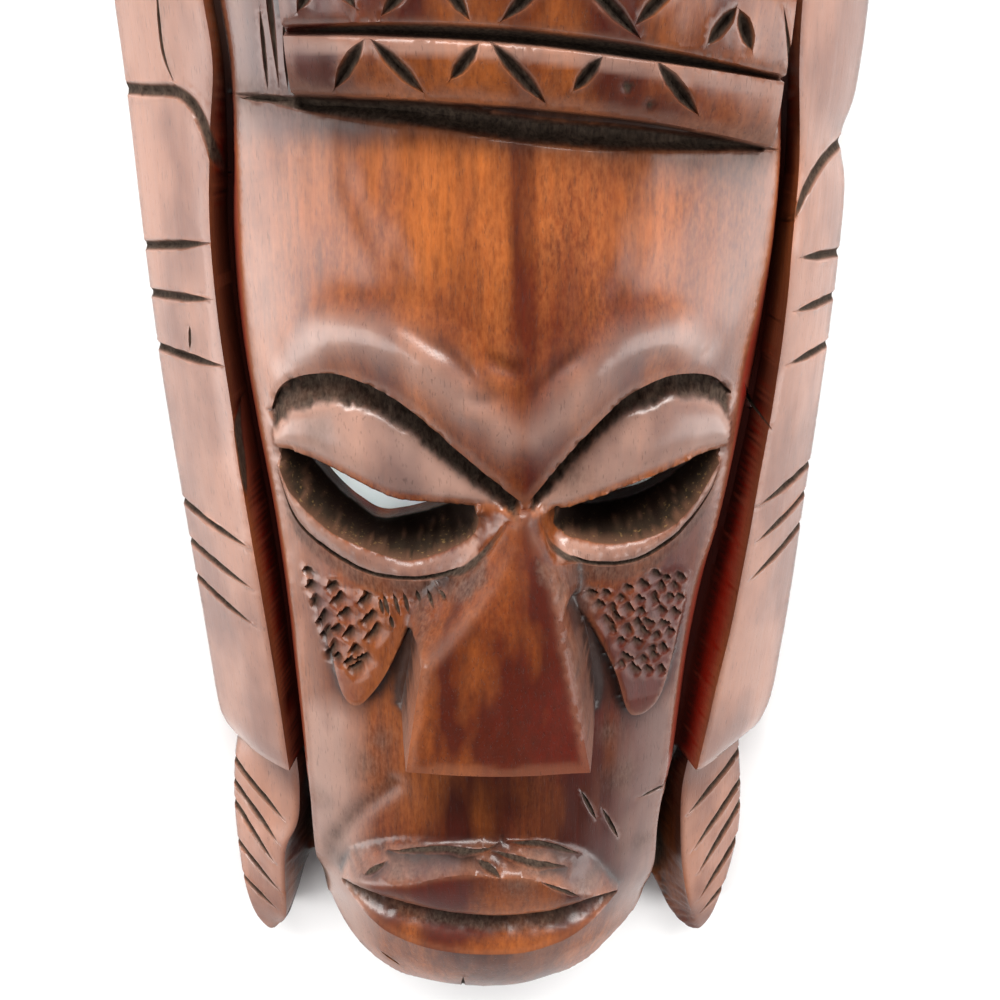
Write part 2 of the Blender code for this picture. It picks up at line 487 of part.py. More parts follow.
def carve_mouth(height, at):
    """Set both lips and the gap between them on the face."""
    lips = loft(at, ACROSS, MOUTH, [(0.0, 0.0), (0.0, 0.0008), (0.0, 0.0), (0.0, 0.0),
                                    (0.0, 0.0006), (0.3, 0.0)])
    return np.where(between(at, ACROSS, MOUTH[0], MOUTH[-1]), lips, height)


def carve_block(height, at):
    """Stand the banded block of the headdress on the forehead's upper end."""
    block = loft(at, ACROSS, BLOCK, [(0.0, 0.0)] * 3 + [(0.2, 0.0006)] + [(0.0, 0.0)] * 2
                 + [(0.0, 0.0006)] + [(0.0, 0.0)] * 2 + [(0.0, 0.0006), (0.0, 0.0)])
    left, right = BLOCK_LEFT * SCALE[0], BLOCK_RIGHT * SCALE[0]
    step = ramp(at[:, 0], left - CARVED_EDGE, left) * ramp(at[:, 0], right + CARVED_EDGE, right)
    return np.where(between(at, ACROSS, BLOCK[0], BLOCK[-1]), height + (block - height) * step,
                    height)


def cut_lines():
    """Every straight cut, as its two ends, half its width and its depth, in metres."""
    kinds = ((STRIPES, STRIPE_WIDTH, STRIPE_DEPTH), (NOTCHES, NOTCH_WIDTH, NOTCH_DEPTH),
             (LINES, LINE_WIDTH, LINE_DEPTH))
    return [(drawn([line[:2], line[2:]]), width / 2, depth)
            for lines, width, depth in kinds for line in lines]


def cut_points(ends, half_width):
    """The middle and the two sides of a cut, which meet at its pointed ends."""
    along = ends[1] - ends[0]
    aside = np.array((-along[1], along[0])) / np.linalg.norm(along) * half_width
    stops = np.array((0.0, 0.12, 0.5, 0.88, 1.0))[:, None]
    widths = np.array((0.0, 1.0, 1.0, 1.0, 0.0))[:, None]
    middle = ends[0] + stops * along
    return middle, middle + widths * aside, middle - widths * aside


def relief(at):
    """Height of the carved front at each place."""
    height = carve_block(carve_mouth(face(at), at), at)
    for ends, half_width, depth in CUTS:
        gap, share = nearest(ends, at)
        width = half_width * np.clip(np.minimum(share, 1.0 - share) / 0.12, 1e-3, 1.0)
        height -= depth * np.clip(1.0 - gap / width, 0.0, 1.0)
    return height


CUTS = cut_lines()


def hollow_edge():
    """The edge of the hollow on the back: an oval, narrower below, with a straight top."""
    power = 2.6
    lip_share = (1.0 - (HANGING_LIP_WIDTH / HOLLOW_WIDTH) ** power) ** (1 / power)
    turn = np.linspace(0.0, 2 * np.pi, 64, endpoint=False)
    across = np.abs(np.cos(turn)) ** (2 / power) * np.sign(np.cos(turn))
    up = np.abs(np.sin(turn)) ** (2 / power) * np.sign(np.sin(turn))
    keep = up < lip_share - 0.004
    across = across * (1.0 + 0.22 * np.minimum(up, 0.0))
    oval = np.stack([across * HOLLOW_WIDTH / 2, up * HOLLOW_LENGTH / 2 + HOLLOW_CENTRE_Y], axis=1)
    after = int(np.argmin(keep))
    lip_y = lip_share * HOLLOW_LENGTH / 2 + HOLLOW_CENTRE_Y
    lip = np.array([(HANGING_LIP_WIDTH / 2, lip_y), (-HANGING_LIP_WIDTH / 2, lip_y)])
    return np.vstack([oval[:after][keep[:after]], lip, oval[after:][keep[after:]]]), lip_y


HOLLOW, LIP_Y = hollow_edge()


def ceiling(at):
    """Height of the hollow over the back, with the least wall left under the carving."""
    depth = np.maximum(depth_inside(HOLLOW, at), 0.0)
    spread = np.minimum(depth / (HOLLOW_WIDTH / 3), 1.0)
    rise = HOLLOW_DEPTH * np.sqrt(1.0 - (1.0 - spread) ** 2)
    near_lip = ramp(np.abs(at[:, 0]), HANGING_LIP_WIDTH / 2 + 0.008, HANGING_LIP_WIDTH / 2)
    lip = HANGING_LIP_HEIGHT * near_lip * ramp(LIP_Y - at[:, 1], 0.0, LIP_SLOPE * 0.9)
    turns = np.linspace(0.0, 2 * np.pi, 8, endpoint=False)
    steps = np.vstack([(0.0, 0.0), np.stack([np.cos(turns), np.sin(turns)], axis=1) * 0.004])
    thinnest = np.min([relief(at + step) for step in steps], axis=0)
    height = np.minimum(np.maximum(rise, lip), np.maximum(thinnest - WALL_THICKNESS, 0.002))
    return np.where(depth > 1e-5, height, 0.0)


def offset(loop, by):
    """A closed polygon moved inwards, its points listed counter-clockwise."""
    ahead = np.roll(loop, -1, axis=0) - np.roll(loop, 1, axis=0)
    normal = np.stack([-ahead[:, 1], ahead[:, 0]], axis=1)
    return loop + by * normal / np.linalg.norm(normal, axis=1)[:, None]


def front_lines():
    """Every open line that the facets of the front follow."""
    lines = RAILS[1:-1] + MOUTH + BLOCK + NOSE
    for eye in EYES:
        lines += [eye[name] for name in ("brow", "brow_foot", "lid_top", "lid_edge", "socket",
                                         "rim")]
    for ridge in BROW_RIDGES:
        lines.append(curve(drawn(ridge)))
    rows = [((-91, CAP_Y), (91, CAP_Y), CARVED_EDGE), ((-83, -114.9), (-57, -114.9), 0.001),
            ((56, -114.9), (80, -114.9), 0.001), ((-26, NOSE_FOOT_Y), (28, NOSE_FOOT_Y), 0.003)]
    for start, end, step in rows:
        row = drawn([start, end])
        lines += [row, row + (0.0, step)]
    for x, step in ((BLOCK_LEFT, -CARVED_EDGE), (BLOCK_RIGHT, CARVED_EDGE)):
        column = drawn([(x, 62), (x, CAP_Y)])
        lines += [column, column + (step, 0.0)]
    lines = [thinned(line, LINE_FACET) for line in lines]
    for ends, half_width, _ in CUTS:
        lines += cut_points(ends, half_width)
    return lines


def turns_left(loop):
    """Whether a closed polygon runs counter-clockwise."""
    after = np.roll(loop, -1, axis=0)
    return (loop[:, 0] * after[:, 1] - loop[:, 1] * after[:, 0]).sum() > 0.0


def triangulate(loops, lines, loose, weld):
    """Facets inside the first loop and outside the others, along lines and loose points."""
    points, edges, regions = [], [], []
    for loop in loops:
        region = list(range(len(points), len(points) + len(loop)))
        regions.append(region if turns_left(loop) else region[::-1])
        points += [Vector(place) for place in loop]
    for line in lines:
        first = len(points)
        points += [Vector(place) for place in line]
        edges += [(k, k + 1) for k in range(first, len(points) - 1)]
    points += [Vector(place) for place in loose]
    places, _, faces, sources, _, owners = delaunay_2d_cdt(points, edges, regions, 0, weld)
    kept = [tuple(face) for face, owner in zip(faces, owners) if owner == [0]]
    return np.array([tuple(place) for place in places]), kept, sources


def open_loops(faces):
    """The open borders of a sheet of facets, each in the order of its facets, largest first."""
    sides = {(face[k], face[(k + 1) % 3]) for face in faces for k in range(3)}
    following = {a: b for a, b in sides if (b, a) not in sides}
    loops = []
    while following:
        start, corner = following.popitem()
        loop = [start]
        while corner != start:
            loop.append(corner)
            corner = following.pop(corner)
        loops.append(loop)
    return sorted(loops, key=len, reverse=True)


def closed(loop):
    """A loop as a line that ends where it starts."""
    return np.vstack([loop, loop[:1]])


def divided(line, longest):
    """A polyline with further points, so that no step of it is longer."""
    places = []
    for start, end in zip(line, line[1:]):
        count = max(1, int(np.ceil(np.linalg.norm(end - start) / longest)))
        places += [start + (end - start) * k / count for k in range(count)]
    return np.array(places + [line[-1]])


def clear_of(line, loops, gap):
    """The stretches of a line that stay outside closed polygons by a gap."""
    depths = np.max([depth_inside(loop, line) for loop in loops], axis=0)
    stretches = [[]]
    for place, depth in zip(line, depths):
        if depth < -gap:
            stretches[-1].append(place)
        elif stretches[-1]:
            stretches.append([])
    return [np.array(stretch) for stretch in stretches if len(stretch) > 1]


def staggered(facet, lines, keep):
    """A staggered grid of places, clear of the lines by most of a facet."""
    columns = np.arange(-0.5 * MASK_WIDTH, 0.5 * MASK_WIDTH, facet)
    rows = np.arange(-0.5 * MASK_HEIGHT, 0.5 * MASK_HEIGHT, facet * 0.866)
    grid = np.array([(x + 0.5 * facet * (k % 2), y) for k, y in enumerate(rows) for x in columns])
    grid = grid[keep(grid)]
    used = np.vstack(lines)
    tree = KDTree(len(used))
    for index, place in enumerate(used):
        tree.insert((*place, 0.0), index)
    tree.balance()
    gaps = np.array([tree.find((*place, 0.0))[2] for place in grid])
    return grid[gaps > 0.6 * facet]


def make_mask(name, collection, material):
    """One closed solid: the carved front, the hollow back and the walls between them."""
    outline = np.vstack([thinned(side, LINE_FACET) for side in OUTLINE])[:-1]
    openings = [thinned(closed(eye["opening"]), LINE_FACET)[:-1] for eye in EYES]

    def solid(at):
        return inside(outline, at) & ~inside(openings[0], at) & ~inside(openings[1], at)

    lines = front_lines()
    for cheek in CHEEKS:
        edge = thinned(closed(cheek), LINE_FACET)[:-1]
        lines += [closed(edge), closed(offset(edge, CARVED_EDGE))]
    loops = [outline] + openings
    loose = staggered(FACE_FACET, loops + lines, solid)
    front, front_faces, _ = triangulate(loops, lines, loose, FRONT_WELD)
    borders = open_loops(front_faces)

    walls = [front[border] for border in borders]
    hollows = []
    for line in (HOLLOW, offset(HOLLOW, 0.0025), offset(HOLLOW, 0.008)):
        hollows += clear_of(divided(closed(line), BACK_FACET), openings, 0.5 * BACK_FACET)
    lip_end = LIP_Y - LIP_SLOPE
    hollows.append(np.array([(x, lip_end) for x in np.linspace(-0.5, 0.5, 5) * HANGING_LIP_WIDTH]))
    for x in (-0.5 * HANGING_LIP_WIDTH, 0.5 * HANGING_LIP_WIDTH):
        hollows.append(np.array([(x, lip_end), (x, lip_end - BACK_FACET)]))
    loose = staggered(BACK_FACET, walls + hollows, solid)
    back, back_faces, sources = triangulate(walls, hollows, loose, BACK_WELD)

    heights = ceiling(back)
    on_lip = (np.abs(back[:, 1] - LIP_Y + LIP_SLOPE) < 1e-6) & (heights > 0.001)
    on_lip &= np.abs(back[:, 0]) < HANGING_LIP_WIDTH / 2 + 1e-6
    back[on_lip, 1] = LIP_Y
    below = {source: index for index, group in enumerate(sources) for source in group}

    total = len(front)
    places = np.vstack([np.column_stack([front, relief(front)]), np.column_stack([back, heights])])
    faces = front_faces + [tuple(total + k for k in face[::-1]) for face in back_faces]
    first = 0
    for border in borders:
        for k, (a, b) in enumerate(zip(border, border[1:] + border[:1])):
            under_a = total + below[first + k]
            under_b = total + below[first + (k + 1) % len(border)]
            faces += [(b, a, under_a), (b, under_a, under_b)]
        first += len(border)
    used = sorted({k for face in faces for k in face})
    place_of = {old: new for new, old in enumerate(used)}
    mesh = bpy.data.meshes.new(name)
    mesh.from_pydata([tuple(places[k]) for k in used], [],
                     [tuple(place_of[k] for k in face) for face in faces])
    mesh.validate()
    mesh.materials.append(material)
    mesh.shade_smooth()
    mesh.set_sharp_from_angle(angle=np.radians(32.0))
    mask = bpy.data.objects.new(name, mesh)
    collection.objects.link(mask)
    return mask


def make_wood():
    """Dark red-brown varnished wood."""
    material = bpy.data.materials.new("wood")
    material.use_nodes = True
    shader = material.node_tree.nodes["Principled BSDF"]
    shader.inputs["Base Color"].default_value = (0.16, 0.035, 0.014, 1.0)
    shader.inputs["Roughness"].default_value = 0.38
    return material


def main():
    for leftover in list(bpy.data.objects):
        bpy.data.objects.remove(leftover)
    collection = bpy.data.collections.new("tiki_mask")
    bpy.context.scene.collection.children.link(collection)
    make_mask("mask", collection, make_wood())


main()
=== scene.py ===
"""The looks of a carved wooden face mask: fine carving, varnished wood and the studio it lies in.

X runs across the face, Y from the chin up to the crown and Z out of the face, in metres.
"""

import math

import bpy
import numpy as np
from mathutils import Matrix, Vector
from mathutils.geometry import delaunay_2d_cdt
from mathutils.kdtree import KDTree


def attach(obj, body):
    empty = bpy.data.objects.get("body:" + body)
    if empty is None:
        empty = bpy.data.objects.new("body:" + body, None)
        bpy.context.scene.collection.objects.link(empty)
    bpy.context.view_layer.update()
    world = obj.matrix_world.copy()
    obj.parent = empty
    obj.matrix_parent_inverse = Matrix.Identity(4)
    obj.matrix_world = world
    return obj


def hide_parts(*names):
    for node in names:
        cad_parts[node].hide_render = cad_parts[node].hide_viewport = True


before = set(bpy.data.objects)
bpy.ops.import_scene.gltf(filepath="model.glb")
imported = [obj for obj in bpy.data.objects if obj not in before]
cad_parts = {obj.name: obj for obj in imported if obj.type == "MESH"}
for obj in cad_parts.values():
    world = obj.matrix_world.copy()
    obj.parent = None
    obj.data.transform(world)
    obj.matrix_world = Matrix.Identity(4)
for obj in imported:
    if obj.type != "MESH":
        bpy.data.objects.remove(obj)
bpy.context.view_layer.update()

bl_info = {
    "name": "Carved Face Mask",
    "version": (1, 0, 0),
    "blender": (4, 5, 0),
    "location": "View3D > Sidebar > Mask",
    "description": "Makes a carved and varnished wooden face mask and a plain studio for it",
    "category": "Object",
}

# Overall sizes of the carving, in metres
MASK_WIDTH = 0.182
MASK_HEIGHT = 0.400
MASK_DEPTH = 0.082

# Hollow back
HOLLOW_WIDTH = 0.130
HOLLOW_LENGTH = 0.325
HOLLOW_DEPTH = 0.034
HOLLOW_CENTRE_Y = 0.002
HOLLOW_POWER = 2.6
HOLLOW_TAPER = 0.22
WALL_THICKNESS = 0.007
HANGING_LIP_WIDTH = 0.044
HANGING_LIP_HEIGHT = 0.012

# Knife work
STRIPE_WIDTH = 0.0028
STRIPE_DEPTH = 0.0020
NOTCH_WIDTH = 0.0032
NOTCH_DEPTH = 0.0022
LINE_WIDTH = 0.0016
LINE_DEPTH = 0.0010
CARVED_EDGE = 0.0008
CHEEK_RISE = 0.0050

# Length of the facets on the open face, on the back and along the carved lines
FACE_FACET = 0.00105
CHEEK_FACET = 0.00065
CAP_FACET = 0.0022
BACK_FACET = 0.0035
LINE_FACET = 0.0010
GROOVE_STEP = 0.0012

# Grooves: lines along their length as shares of half their width, the share of it in which an
# end runs out to a point, and how near the outline an end stays open
GROOVE_LINES = (-1.25, -1.0, -0.5, 0.0, 0.5, 1.0, 1.25)
GROOVE_END = 0.32
OPEN_END = 0.0035

# Rounded edges, the lines that follow them, and the rings of facets on the walls: how far up
# the wall each one runs and how far in it is dented
EDGE_RADIUS = 0.0013
HAND_ROUNDING = 0.00025
EDGE_INSETS = (0.00035, 0.0009)
WALL_RINGS = ((0.75, 0.0002), (0.4, 0.0004), (0.06, 0.0002))

# The hanging lip's run from foot to top, and how near two points of a sheet become one
LIP_SLOPE = 0.0004
FRONT_WELD = 0.0001
BACK_WELD = 0.000001

# The carving is drawn in millimetres on a mask of this width, height and depth
DRAWING = np.array((182.0, 400.0, 82.0))
SCALE = np.array((MASK_WIDTH, MASK_HEIGHT, MASK_DEPTH)) / DRAWING
ACROSS, UP = 0, 1


def drawn(points):
    """Points of the drawing, x, y and height, in metres on this mask."""
    return np.array(points, dtype=float) * SCALE[:len(points[0])]


def lift(millimetres):
    """A height of the drawing in metres on this mask."""
    return millimetres * SCALE[2]


def curve(points, step=0.001, closed=False):
    """A smooth curve through points, as a polyline with steps of about one length."""
    knots = np.array(points, dtype=float)
    if closed:
        before, after = knots[-1:], knots[:2]
    else:
        before, after = 2 * knots[:1] - knots[1:2], 2 * knots[-1:] - knots[-2:-1]
    padded = np.vstack([before, knots, after])
    line = []
    for a, b, c, d in zip(padded, padded[1:], padded[2:], padded[3:]):
        count = max(2, int(round(np.linalg.norm(c - b) / step)))
        t = np.linspace(0.0, 1.0, count, endpoint=False)[:, None]
        line.append(0.5 * (2 * b + (c - a) * t + (2 * a - 5 * b + 4 * c - d) * t ** 2
                           + (3 * b - a - 3 * c + d) * t ** 3))
    if not closed:
        line.append(knots[-1:])
    return np.vstack(line)


def thinned(line, step):
    """A polyline with its vertices about one step apart and both ends kept."""
    lengths = np.linalg.norm(np.diff(line[:, :2], axis=0), axis=1)
    run = np.concatenate([[0.0], np.cumsum(lengths)])
    stops = np.linspace(0.0, run[-1], max(2, int(round(run[-1] / step)) + 1))
    return np.stack([np.interp(stops, run, line[:, k]) for k in range(2)], axis=1)


def nearest(line, at):
    """Distance of each place from a polyline, and the share of its length passed there."""
    starts, steps = line[:-1, :2], np.diff(line[:, :2], axis=0)
    lengths = np.linalg.norm(steps, axis=1)
    run = np.concatenate([[0.0], np.cumsum(lengths)])
    best = np.full(len(at), np.inf)
    share = np.zeros(len(at))
    for start, step, length, passed in zip(starts, steps, lengths, run):
        t = np.clip((at - start) @ step / length ** 2, 0.0, 1.0)
        gap = np.linalg.norm(at - start - t[:, None] * step, axis=1)
        closer = gap < best
        best[closer] = gap[closer]
        share[closer] = (passed + t[closer] * length) / run[-1]
    return best, share


def inside(loop, at):
    """Whether each place lies inside a closed polygon."""
    within = np.zeros(len(at), dtype=bool)
    for (x0, y0), (x1, y1) in zip(loop[:, :2], np.roll(loop[:, :2], -1, axis=0)):
        spans = (y0 > at[:, 1]) != (y1 > at[:, 1])
        crossing = x0 + (at[:, 1] - y0) * (x1 - x0) / np.where(spans, y1 - y0, 1.0)
        within ^= spans & (at[:, 0] < crossing)
    return within


def depth_inside(loop, at):
    """How far each place lies inside a closed polygon, below zero outside it."""
    gap = nearest(np.vstack([loop, loop[:1]]), at)[0]
    return np.where(inside(loop, at), gap, -gap)


def ramp(value, start, end):
    """Zero before start, one after end and straight between."""
    return np.clip((value - start) / (end - start), 0.0, 1.0)


def on_rail(rail, axis, along):
    """Side place and height of a rail where it passes given places along an axis."""
    return (np.interp(along, rail[:, axis], rail[:, 1 - axis]),
            np.interp(along, rail[:, axis], rail[:, 2]))


def loft(at, axis, rails, swells):
    """Height of a surface drawn over rails that run along an axis, lowest side first.

    Each swell is (ease, rise): how much the rise from one rail to the next is taken early,
    and how far the strip bulges in its middle, in metres.
    """
    along, beside = at[:, axis], at[:, 1 - axis]
    places = [on_rail(rail, axis, along) for rail in rails]
    height = places[0][1].copy()
    for (start, low), (end, high), (early, rise) in zip(places, places[1:], swells):
        share = np.clip((beside - start) / np.maximum(end - start, 1e-6), 0.0, 1.0)
        hump = share * (1.0 - share)
        strip = low + (high - low) * (share + early * hump) + 4.0 * rise * hump
        height = np.where(beside >= start, strip, height)
    return height


def between(at, axis, first, last):
    """Whether each place lies between two rails and within their length."""
    along, beside = at[:, axis], at[:, 1 - axis]
    low, high = on_rail(first, axis, along)[0], on_rail(last, axis, along)[0]
    start = max(first[0, axis], last[0, axis])
    end = min(first[-1, axis], last[-1, axis])
    return (beside > low) & (beside < high) & (along > start) & (along < end)


def laid(line, ground):
    """A line with its heights taken from a surface."""
    flat = line[:, :2]
    return np.column_stack([flat, ground(flat)])


def evened(line, reach):
    """A line with each height averaged over its neighbours within a reach."""
    gaps = np.linalg.norm(line[:, None, :2] - line[None, :, :2], axis=2)
    near = gaps < reach
    return np.column_stack([line[:, :2], (near * line[None, :, 2]).sum(axis=1) / near.sum(axis=1)])


# Outline, with the height of the edge of the carved face

LEFT_SIDE = [(3, 200, 17), (-30, 196.5, 17), (-58, 183, 17), (-78, 160, 17), (-88, 130, 16),
             (-90.6, 100, 15), (-90.6, 76, 15), (-91, 40, 15), (-91, 8, 15), (-89.6, -33, 15),
             (-88, -66, 15), (-87, -94, 15), (-86, -106, 15), (-82.8, -113.9, 14)]
LEFT_FLAP = [(-82.6, -114.9, 11), (-84.6, -126, 12), (-86.4, -143, 12), (-86.4, -160, 13),
             (-85.4, -176, 14), (-83, -189, 14), (-78.4, -195.6, 14), (-72.7, -192, 13),
             (-68.3, -181, 12), (-64.6, -169, 12), (-61.6, -162.6, 12)]
CHIN = [(-52.6, -162.5, 31), (-49.9, -171.3, 32), (-45.2, -180.6, 33), (-38.2, -189.5, 33),
        (-29.8, -195.6, 33), (-18, -199.3, 33), (-4, -200, 33), (12, -199, 33),
        (22.8, -194.6, 33), (32.1, -187.8, 33), (41, -177, 32), (44.8, -171.8, 31)]
RIGHT_FLAP = [(54, -173.3, 12), (56.4, -178, 12), (60.8, -187.6, 13), (66, -194, 14),
              (71.6, -195.8, 14), (75.4, -190, 14), (78.2, -179, 14), (80.6, -168, 13),
              (82.4, -153, 12), (81.6, -138, 12), (79.8, -123, 12), (79.2, -114.9, 11)]
RIGHT_SIDE = [(79.6, -113.9, 14), (84.2, -108.6, 15), (87, -99, 15), (88.2, -84, 15),
              (89.2, -64, 15), (89.8, -33, 15), (90.6, -8, 15), (91, 14, 15), (91, 38, 15),
              (90.2, 54, 15), (87.4, 65, 16), (90.2, 76, 15), (90.6, 100, 15),
              (88.5, 130, 16), (79, 160, 17), (61, 183, 17), (34, 196.5, 17), (3, 200, 17)]

# Side rails that run up the mask, from the edge to the middle of the face

LEFT_CREST = [(-64, 124, 36), (-63.4, 100, 38), (-62.4, 82, 38), (-65, 66, 36.5), (-67.4, 46, 36),
              (-67.8, 23, 36), (-66.8, 0, 36), (-65.8, -25, 36), (-64.2, -50, 36),
              (-62.6, -80, 35), (-61.4, -113.9, 34)]
LEFT_FOOT = [(-62.2, 124, 34), (-61.8, 100, 35), (-60.8, 82, 34), (-63.6, 62, 27),
             (-66.4, 44, 22.5), (-66.8, 22, 22), (-65.2, -3, 22), (-63, -30, 22),
             (-61.4, -55, 22), (-60.4, -85, 22), (-59.8, -113.9, 22)]
LEFT_CHANNEL = [(-61, 124, 34), (-60.6, 100, 35), (-59.4, 82, 34), (-62, 62, 27),
                (-65.4, 43, 22), (-65.8, 21, 21.5), (-64, -3, 21.5), (-61.6, -30, 21.5),
                (-60.2, -55, 21.5), (-59.4, -85, 21.5), (-58.6, -113.9, 21)]
LEFT_FACE_EDGE = [(-58, 124, 40), (-57.6, 100, 41), (-57, 82, 40), (-58.4, 66, 38),
                  (-60, 44, 37), (-60.6, 23, 37), (-59.6, 0, 37), (-57.2, -25, 37),
                  (-55.7, -50, 37), (-55, -82, 37), (-54.9, -112, 37), (-55.2, -140, 36),
                  (-54.4, -152, 34), (-52.8, -162, 32), (-49.9, -171.3, 32),
                  (-45.2, -180.6, 33), (-38.2, -189.5, 33), (-29.8, -195.6, 33),
                  (-10, -199.9, 33)]
MIDDLE = [(3, 124, 58), (3.8, 95, 56), (4.6, 74, 53.5), (5, 58, 55), (5.4, 40, 58),
          (6, 22, 59.5), (7, 4, 59), (7.6, -14, 56), (5, -35, 51), (2, -60, 49), (0, -85, 49),
          (-2, -112, 51), (-3.4, -138, 53), (-3.6, -162, 52.5), (-3, -178, 48.5),
          (-2.6, -191, 42), (-2, -200, 34)]
RIGHT_FACE_EDGE = [(60, 124, 40), (61.6, 100, 41), (63, 82, 40), (66.4, 62, 38), (66.8, 42, 37),
                   (64.8, 24, 37), (62.8, 10, 37), (61.8, -12, 37), (59.4, -33, 37),
                   (56, -47, 37), (54, -62, 37), (52.4, -85, 37), (51.4, -108, 37),
                   (50, -130, 36.5), (50.2, -148, 34.5), (48, -161, 32), (44.8, -171.8, 31),
                   (41, -177, 32), (32.1, -187.8, 33), (22.8, -194.6, 33), (6, -199.9, 33)]
RIGHT_CHANNEL = [(63.4, 124, 34), (64.8, 100, 36), (66, 82, 35), (69.6, 58, 27),
                 (70.9, 38, 22), (70, 12, 21.5), (67.8, -4, 21.5), (65.2, -23, 21.5),
                 (62, -44, 21.5), (58.6, -70, 21.5), (57.2, -92, 21.5), (56.2, -113.9, 21)]
RIGHT_FOOT = [(64.4, 124, 34), (66, 100, 36), (67.2, 82, 35), (70.8, 58, 27.5),
              (71.6, 38, 23), (71, 12, 22), (69.6, -4, 22), (67.4, -23, 22),
              (64.6, -44, 22), (61.4, -70, 22), (59.2, -92, 22), (57.6, -113.9, 22)]
RIGHT_CREST = [(66.4, 124, 36), (68, 100, 38), (69, 82, 38), (71.8, 60, 36.5), (72.4, 40, 36),
               (72.6, 22, 36), (71.8, 0, 36), (70.4, -18, 36), (69, -38, 36),
               (66.8, -64, 35.5), (64.4, -84, 35), (61.2, -113.9, 34)]

# The same rails below the lappets, where each side ends in a lower flap

LEFT_FLAP_CREST = [(-61, -114.9, 25), (-61.2, -128, 24), (-62.8, -141, 24), (-67.4, -152, 24),
                   (-68.8, -166, 24), (-70, -181, 22), (-74, -190, 17), (-78, -195.2, 14.5)]
LEFT_FLAP_FOOT = [(-59.6, -114.9, 20), (-59.8, -128, 15), (-61, -141, 9), (-62, -152, 9),
                  (-63.6, -163, 12), (-66.4, -174, 12), (-70.6, -186, 12.5), (-75, -193.6, 13),
                  (-77.6, -195.2, 14)]
LEFT_FLAP_CHANNEL = [(-58.4, -114.9, 20), (-57.8, -128, 15), (-57.4, -141, 9),
                     (-56.6, -152, 8), (-54.8, -162, 11), (-52.4, -171, 11)]
RIGHT_FLAP_CREST = [(60.4, -114.9, 25), (59.4, -128, 24), (59.8, -142, 24),
                    (61.4, -158, 24), (64.6, -174, 23), (68, -185, 19), (71.2, -195.2, 14.5)]
RIGHT_FLAP_FOOT = [(57.4, -114.9, 20), (56.6, -128, 14), (56, -142, 9), (55.6, -158, 10),
                   (56.4, -172, 12), (60.4, -185, 12.5), (66, -193.4, 13.5),
                   (70.6, -195.2, 14)]
RIGHT_FLAP_CHANNEL = [(56, -114.9, 20), (54, -128, 14), (53, -142, 9), (51.4, -156, 9),
                      (48.6, -168, 10), (46, -176, 11)]

# Brows and eyes, each rail running across from the outer or left corner to the right

LEFT_BROW = [(-55.6, 1.5), (-53, 7), (-48.6, 10.6), (-41, 12.8), (-33.4, 12.4), (-21.8, 7.6),
             (-10.4, -2), (-0.6, -11), (6.6, -17.4)]
LEFT_LID_TOP = [(-55.6, -3.5, 39.5), (-50.8, 2.6, 43), (-42.6, 6.2, 45.5), (-34.8, 6.2, 47.5),
                (-22.8, 1.6, 48.5), (-10.6, -8.6, 49.5), (-0.6, -16.6, 50), (6.6, -20.4, 51)]
LEFT_LID_EDGE = [(-55.6, -9, 39.5), (-52, -8.6, 42), (-47.2, -9.2, 44.5), (-40.2, -11.6, 47),
                 (-32.4, -15.4, 48.5), (-24.4, -18.9, 49.5), (-13.1, -20.2, 49.5),
                 (-3, -21.2, 49.5), (6.6, -21.6, 51)]
LEFT_HOLE = [(-50.4, -11.6, 31), (-46.8, -17.6, 30), (-40, -26, 30), (-31.6, -32.4, 30),
             (-24.6, -32.2, 30), (-17.4, -30.4, 30), (-10.6, -27.6, 31), (-6.4, -24, 34)]
LEFT_SOCKET = [(-54.6, -13, 42), (-51.5, -21, 43), (-41.9, -30.6, 44.5), (-31.8, -35.4, 45.5),
               (-22.3, -37.8, 46.5), (-14, -35.6, 47), (-8.4, -32.6, 47.5), (-4.4, -29, 48),
               (-3.4, -24, 48.5)]
LEFT_RIM = [(-55.8, -15, 40.5), (-51.6, -28.6, 41.5), (-43.4, -36.2, 43.5), (-32, -41.6, 45),
            (-22.3, -42.4, 46), (-15.5, -41.4, 46.6), (-8.4, -38.2, 47.5), (-4.4, -34.6, 49),
            (-1, -30.6, 50)]

RIGHT_BROW = [(9.4, -17.4), (14.5, -10), (21.6, -1), (30.8, 8), (40, 12.2), (47.2, 12.6),
              (54.4, 10.6), (60.2, 5.6)]
RIGHT_LID_TOP = [(9.4, -20.4, 51), (20.6, -7.4, 49), (31.6, 3.4, 47.5), (41.2, 7, 46),
                 (48.4, 7.6, 44), (56, 4.8, 41.5), (60.2, -0.5, 39.5)]
RIGHT_LID_EDGE = [(9.4, -21.6, 51), (17.1, -21.8, 49.5), (26, -19, 49.5), (36.9, -15, 48),
                  (46.6, -11.6, 46), (52.6, -9.2, 44), (60.2, -9, 39.5)]
RIGHT_HOLE = [(18.6, -24, 34), (22.4, -28, 31), (31.9, -27.8, 30), (42.6, -24.2, 30),
              (51.2, -17.6, 30), (54.4, -12, 31)]
RIGHT_SOCKET = [(16.2, -24.4, 48.5), (16.6, -28.6, 48), (27.9, -32.8, 46.5), (38.2, -32.6, 45),
                (46.4, -29.4, 44), (53, -22, 43), (58, -12.4, 42)]
RIGHT_RIM = [(10.8, -30.4, 49.5), (17.4, -34, 48), (28, -37.8, 46), (38.3, -37.4, 44.5),
             (48.4, -31.4, 43), (55.8, -22, 41), (58.8, -14.4, 40.5)]

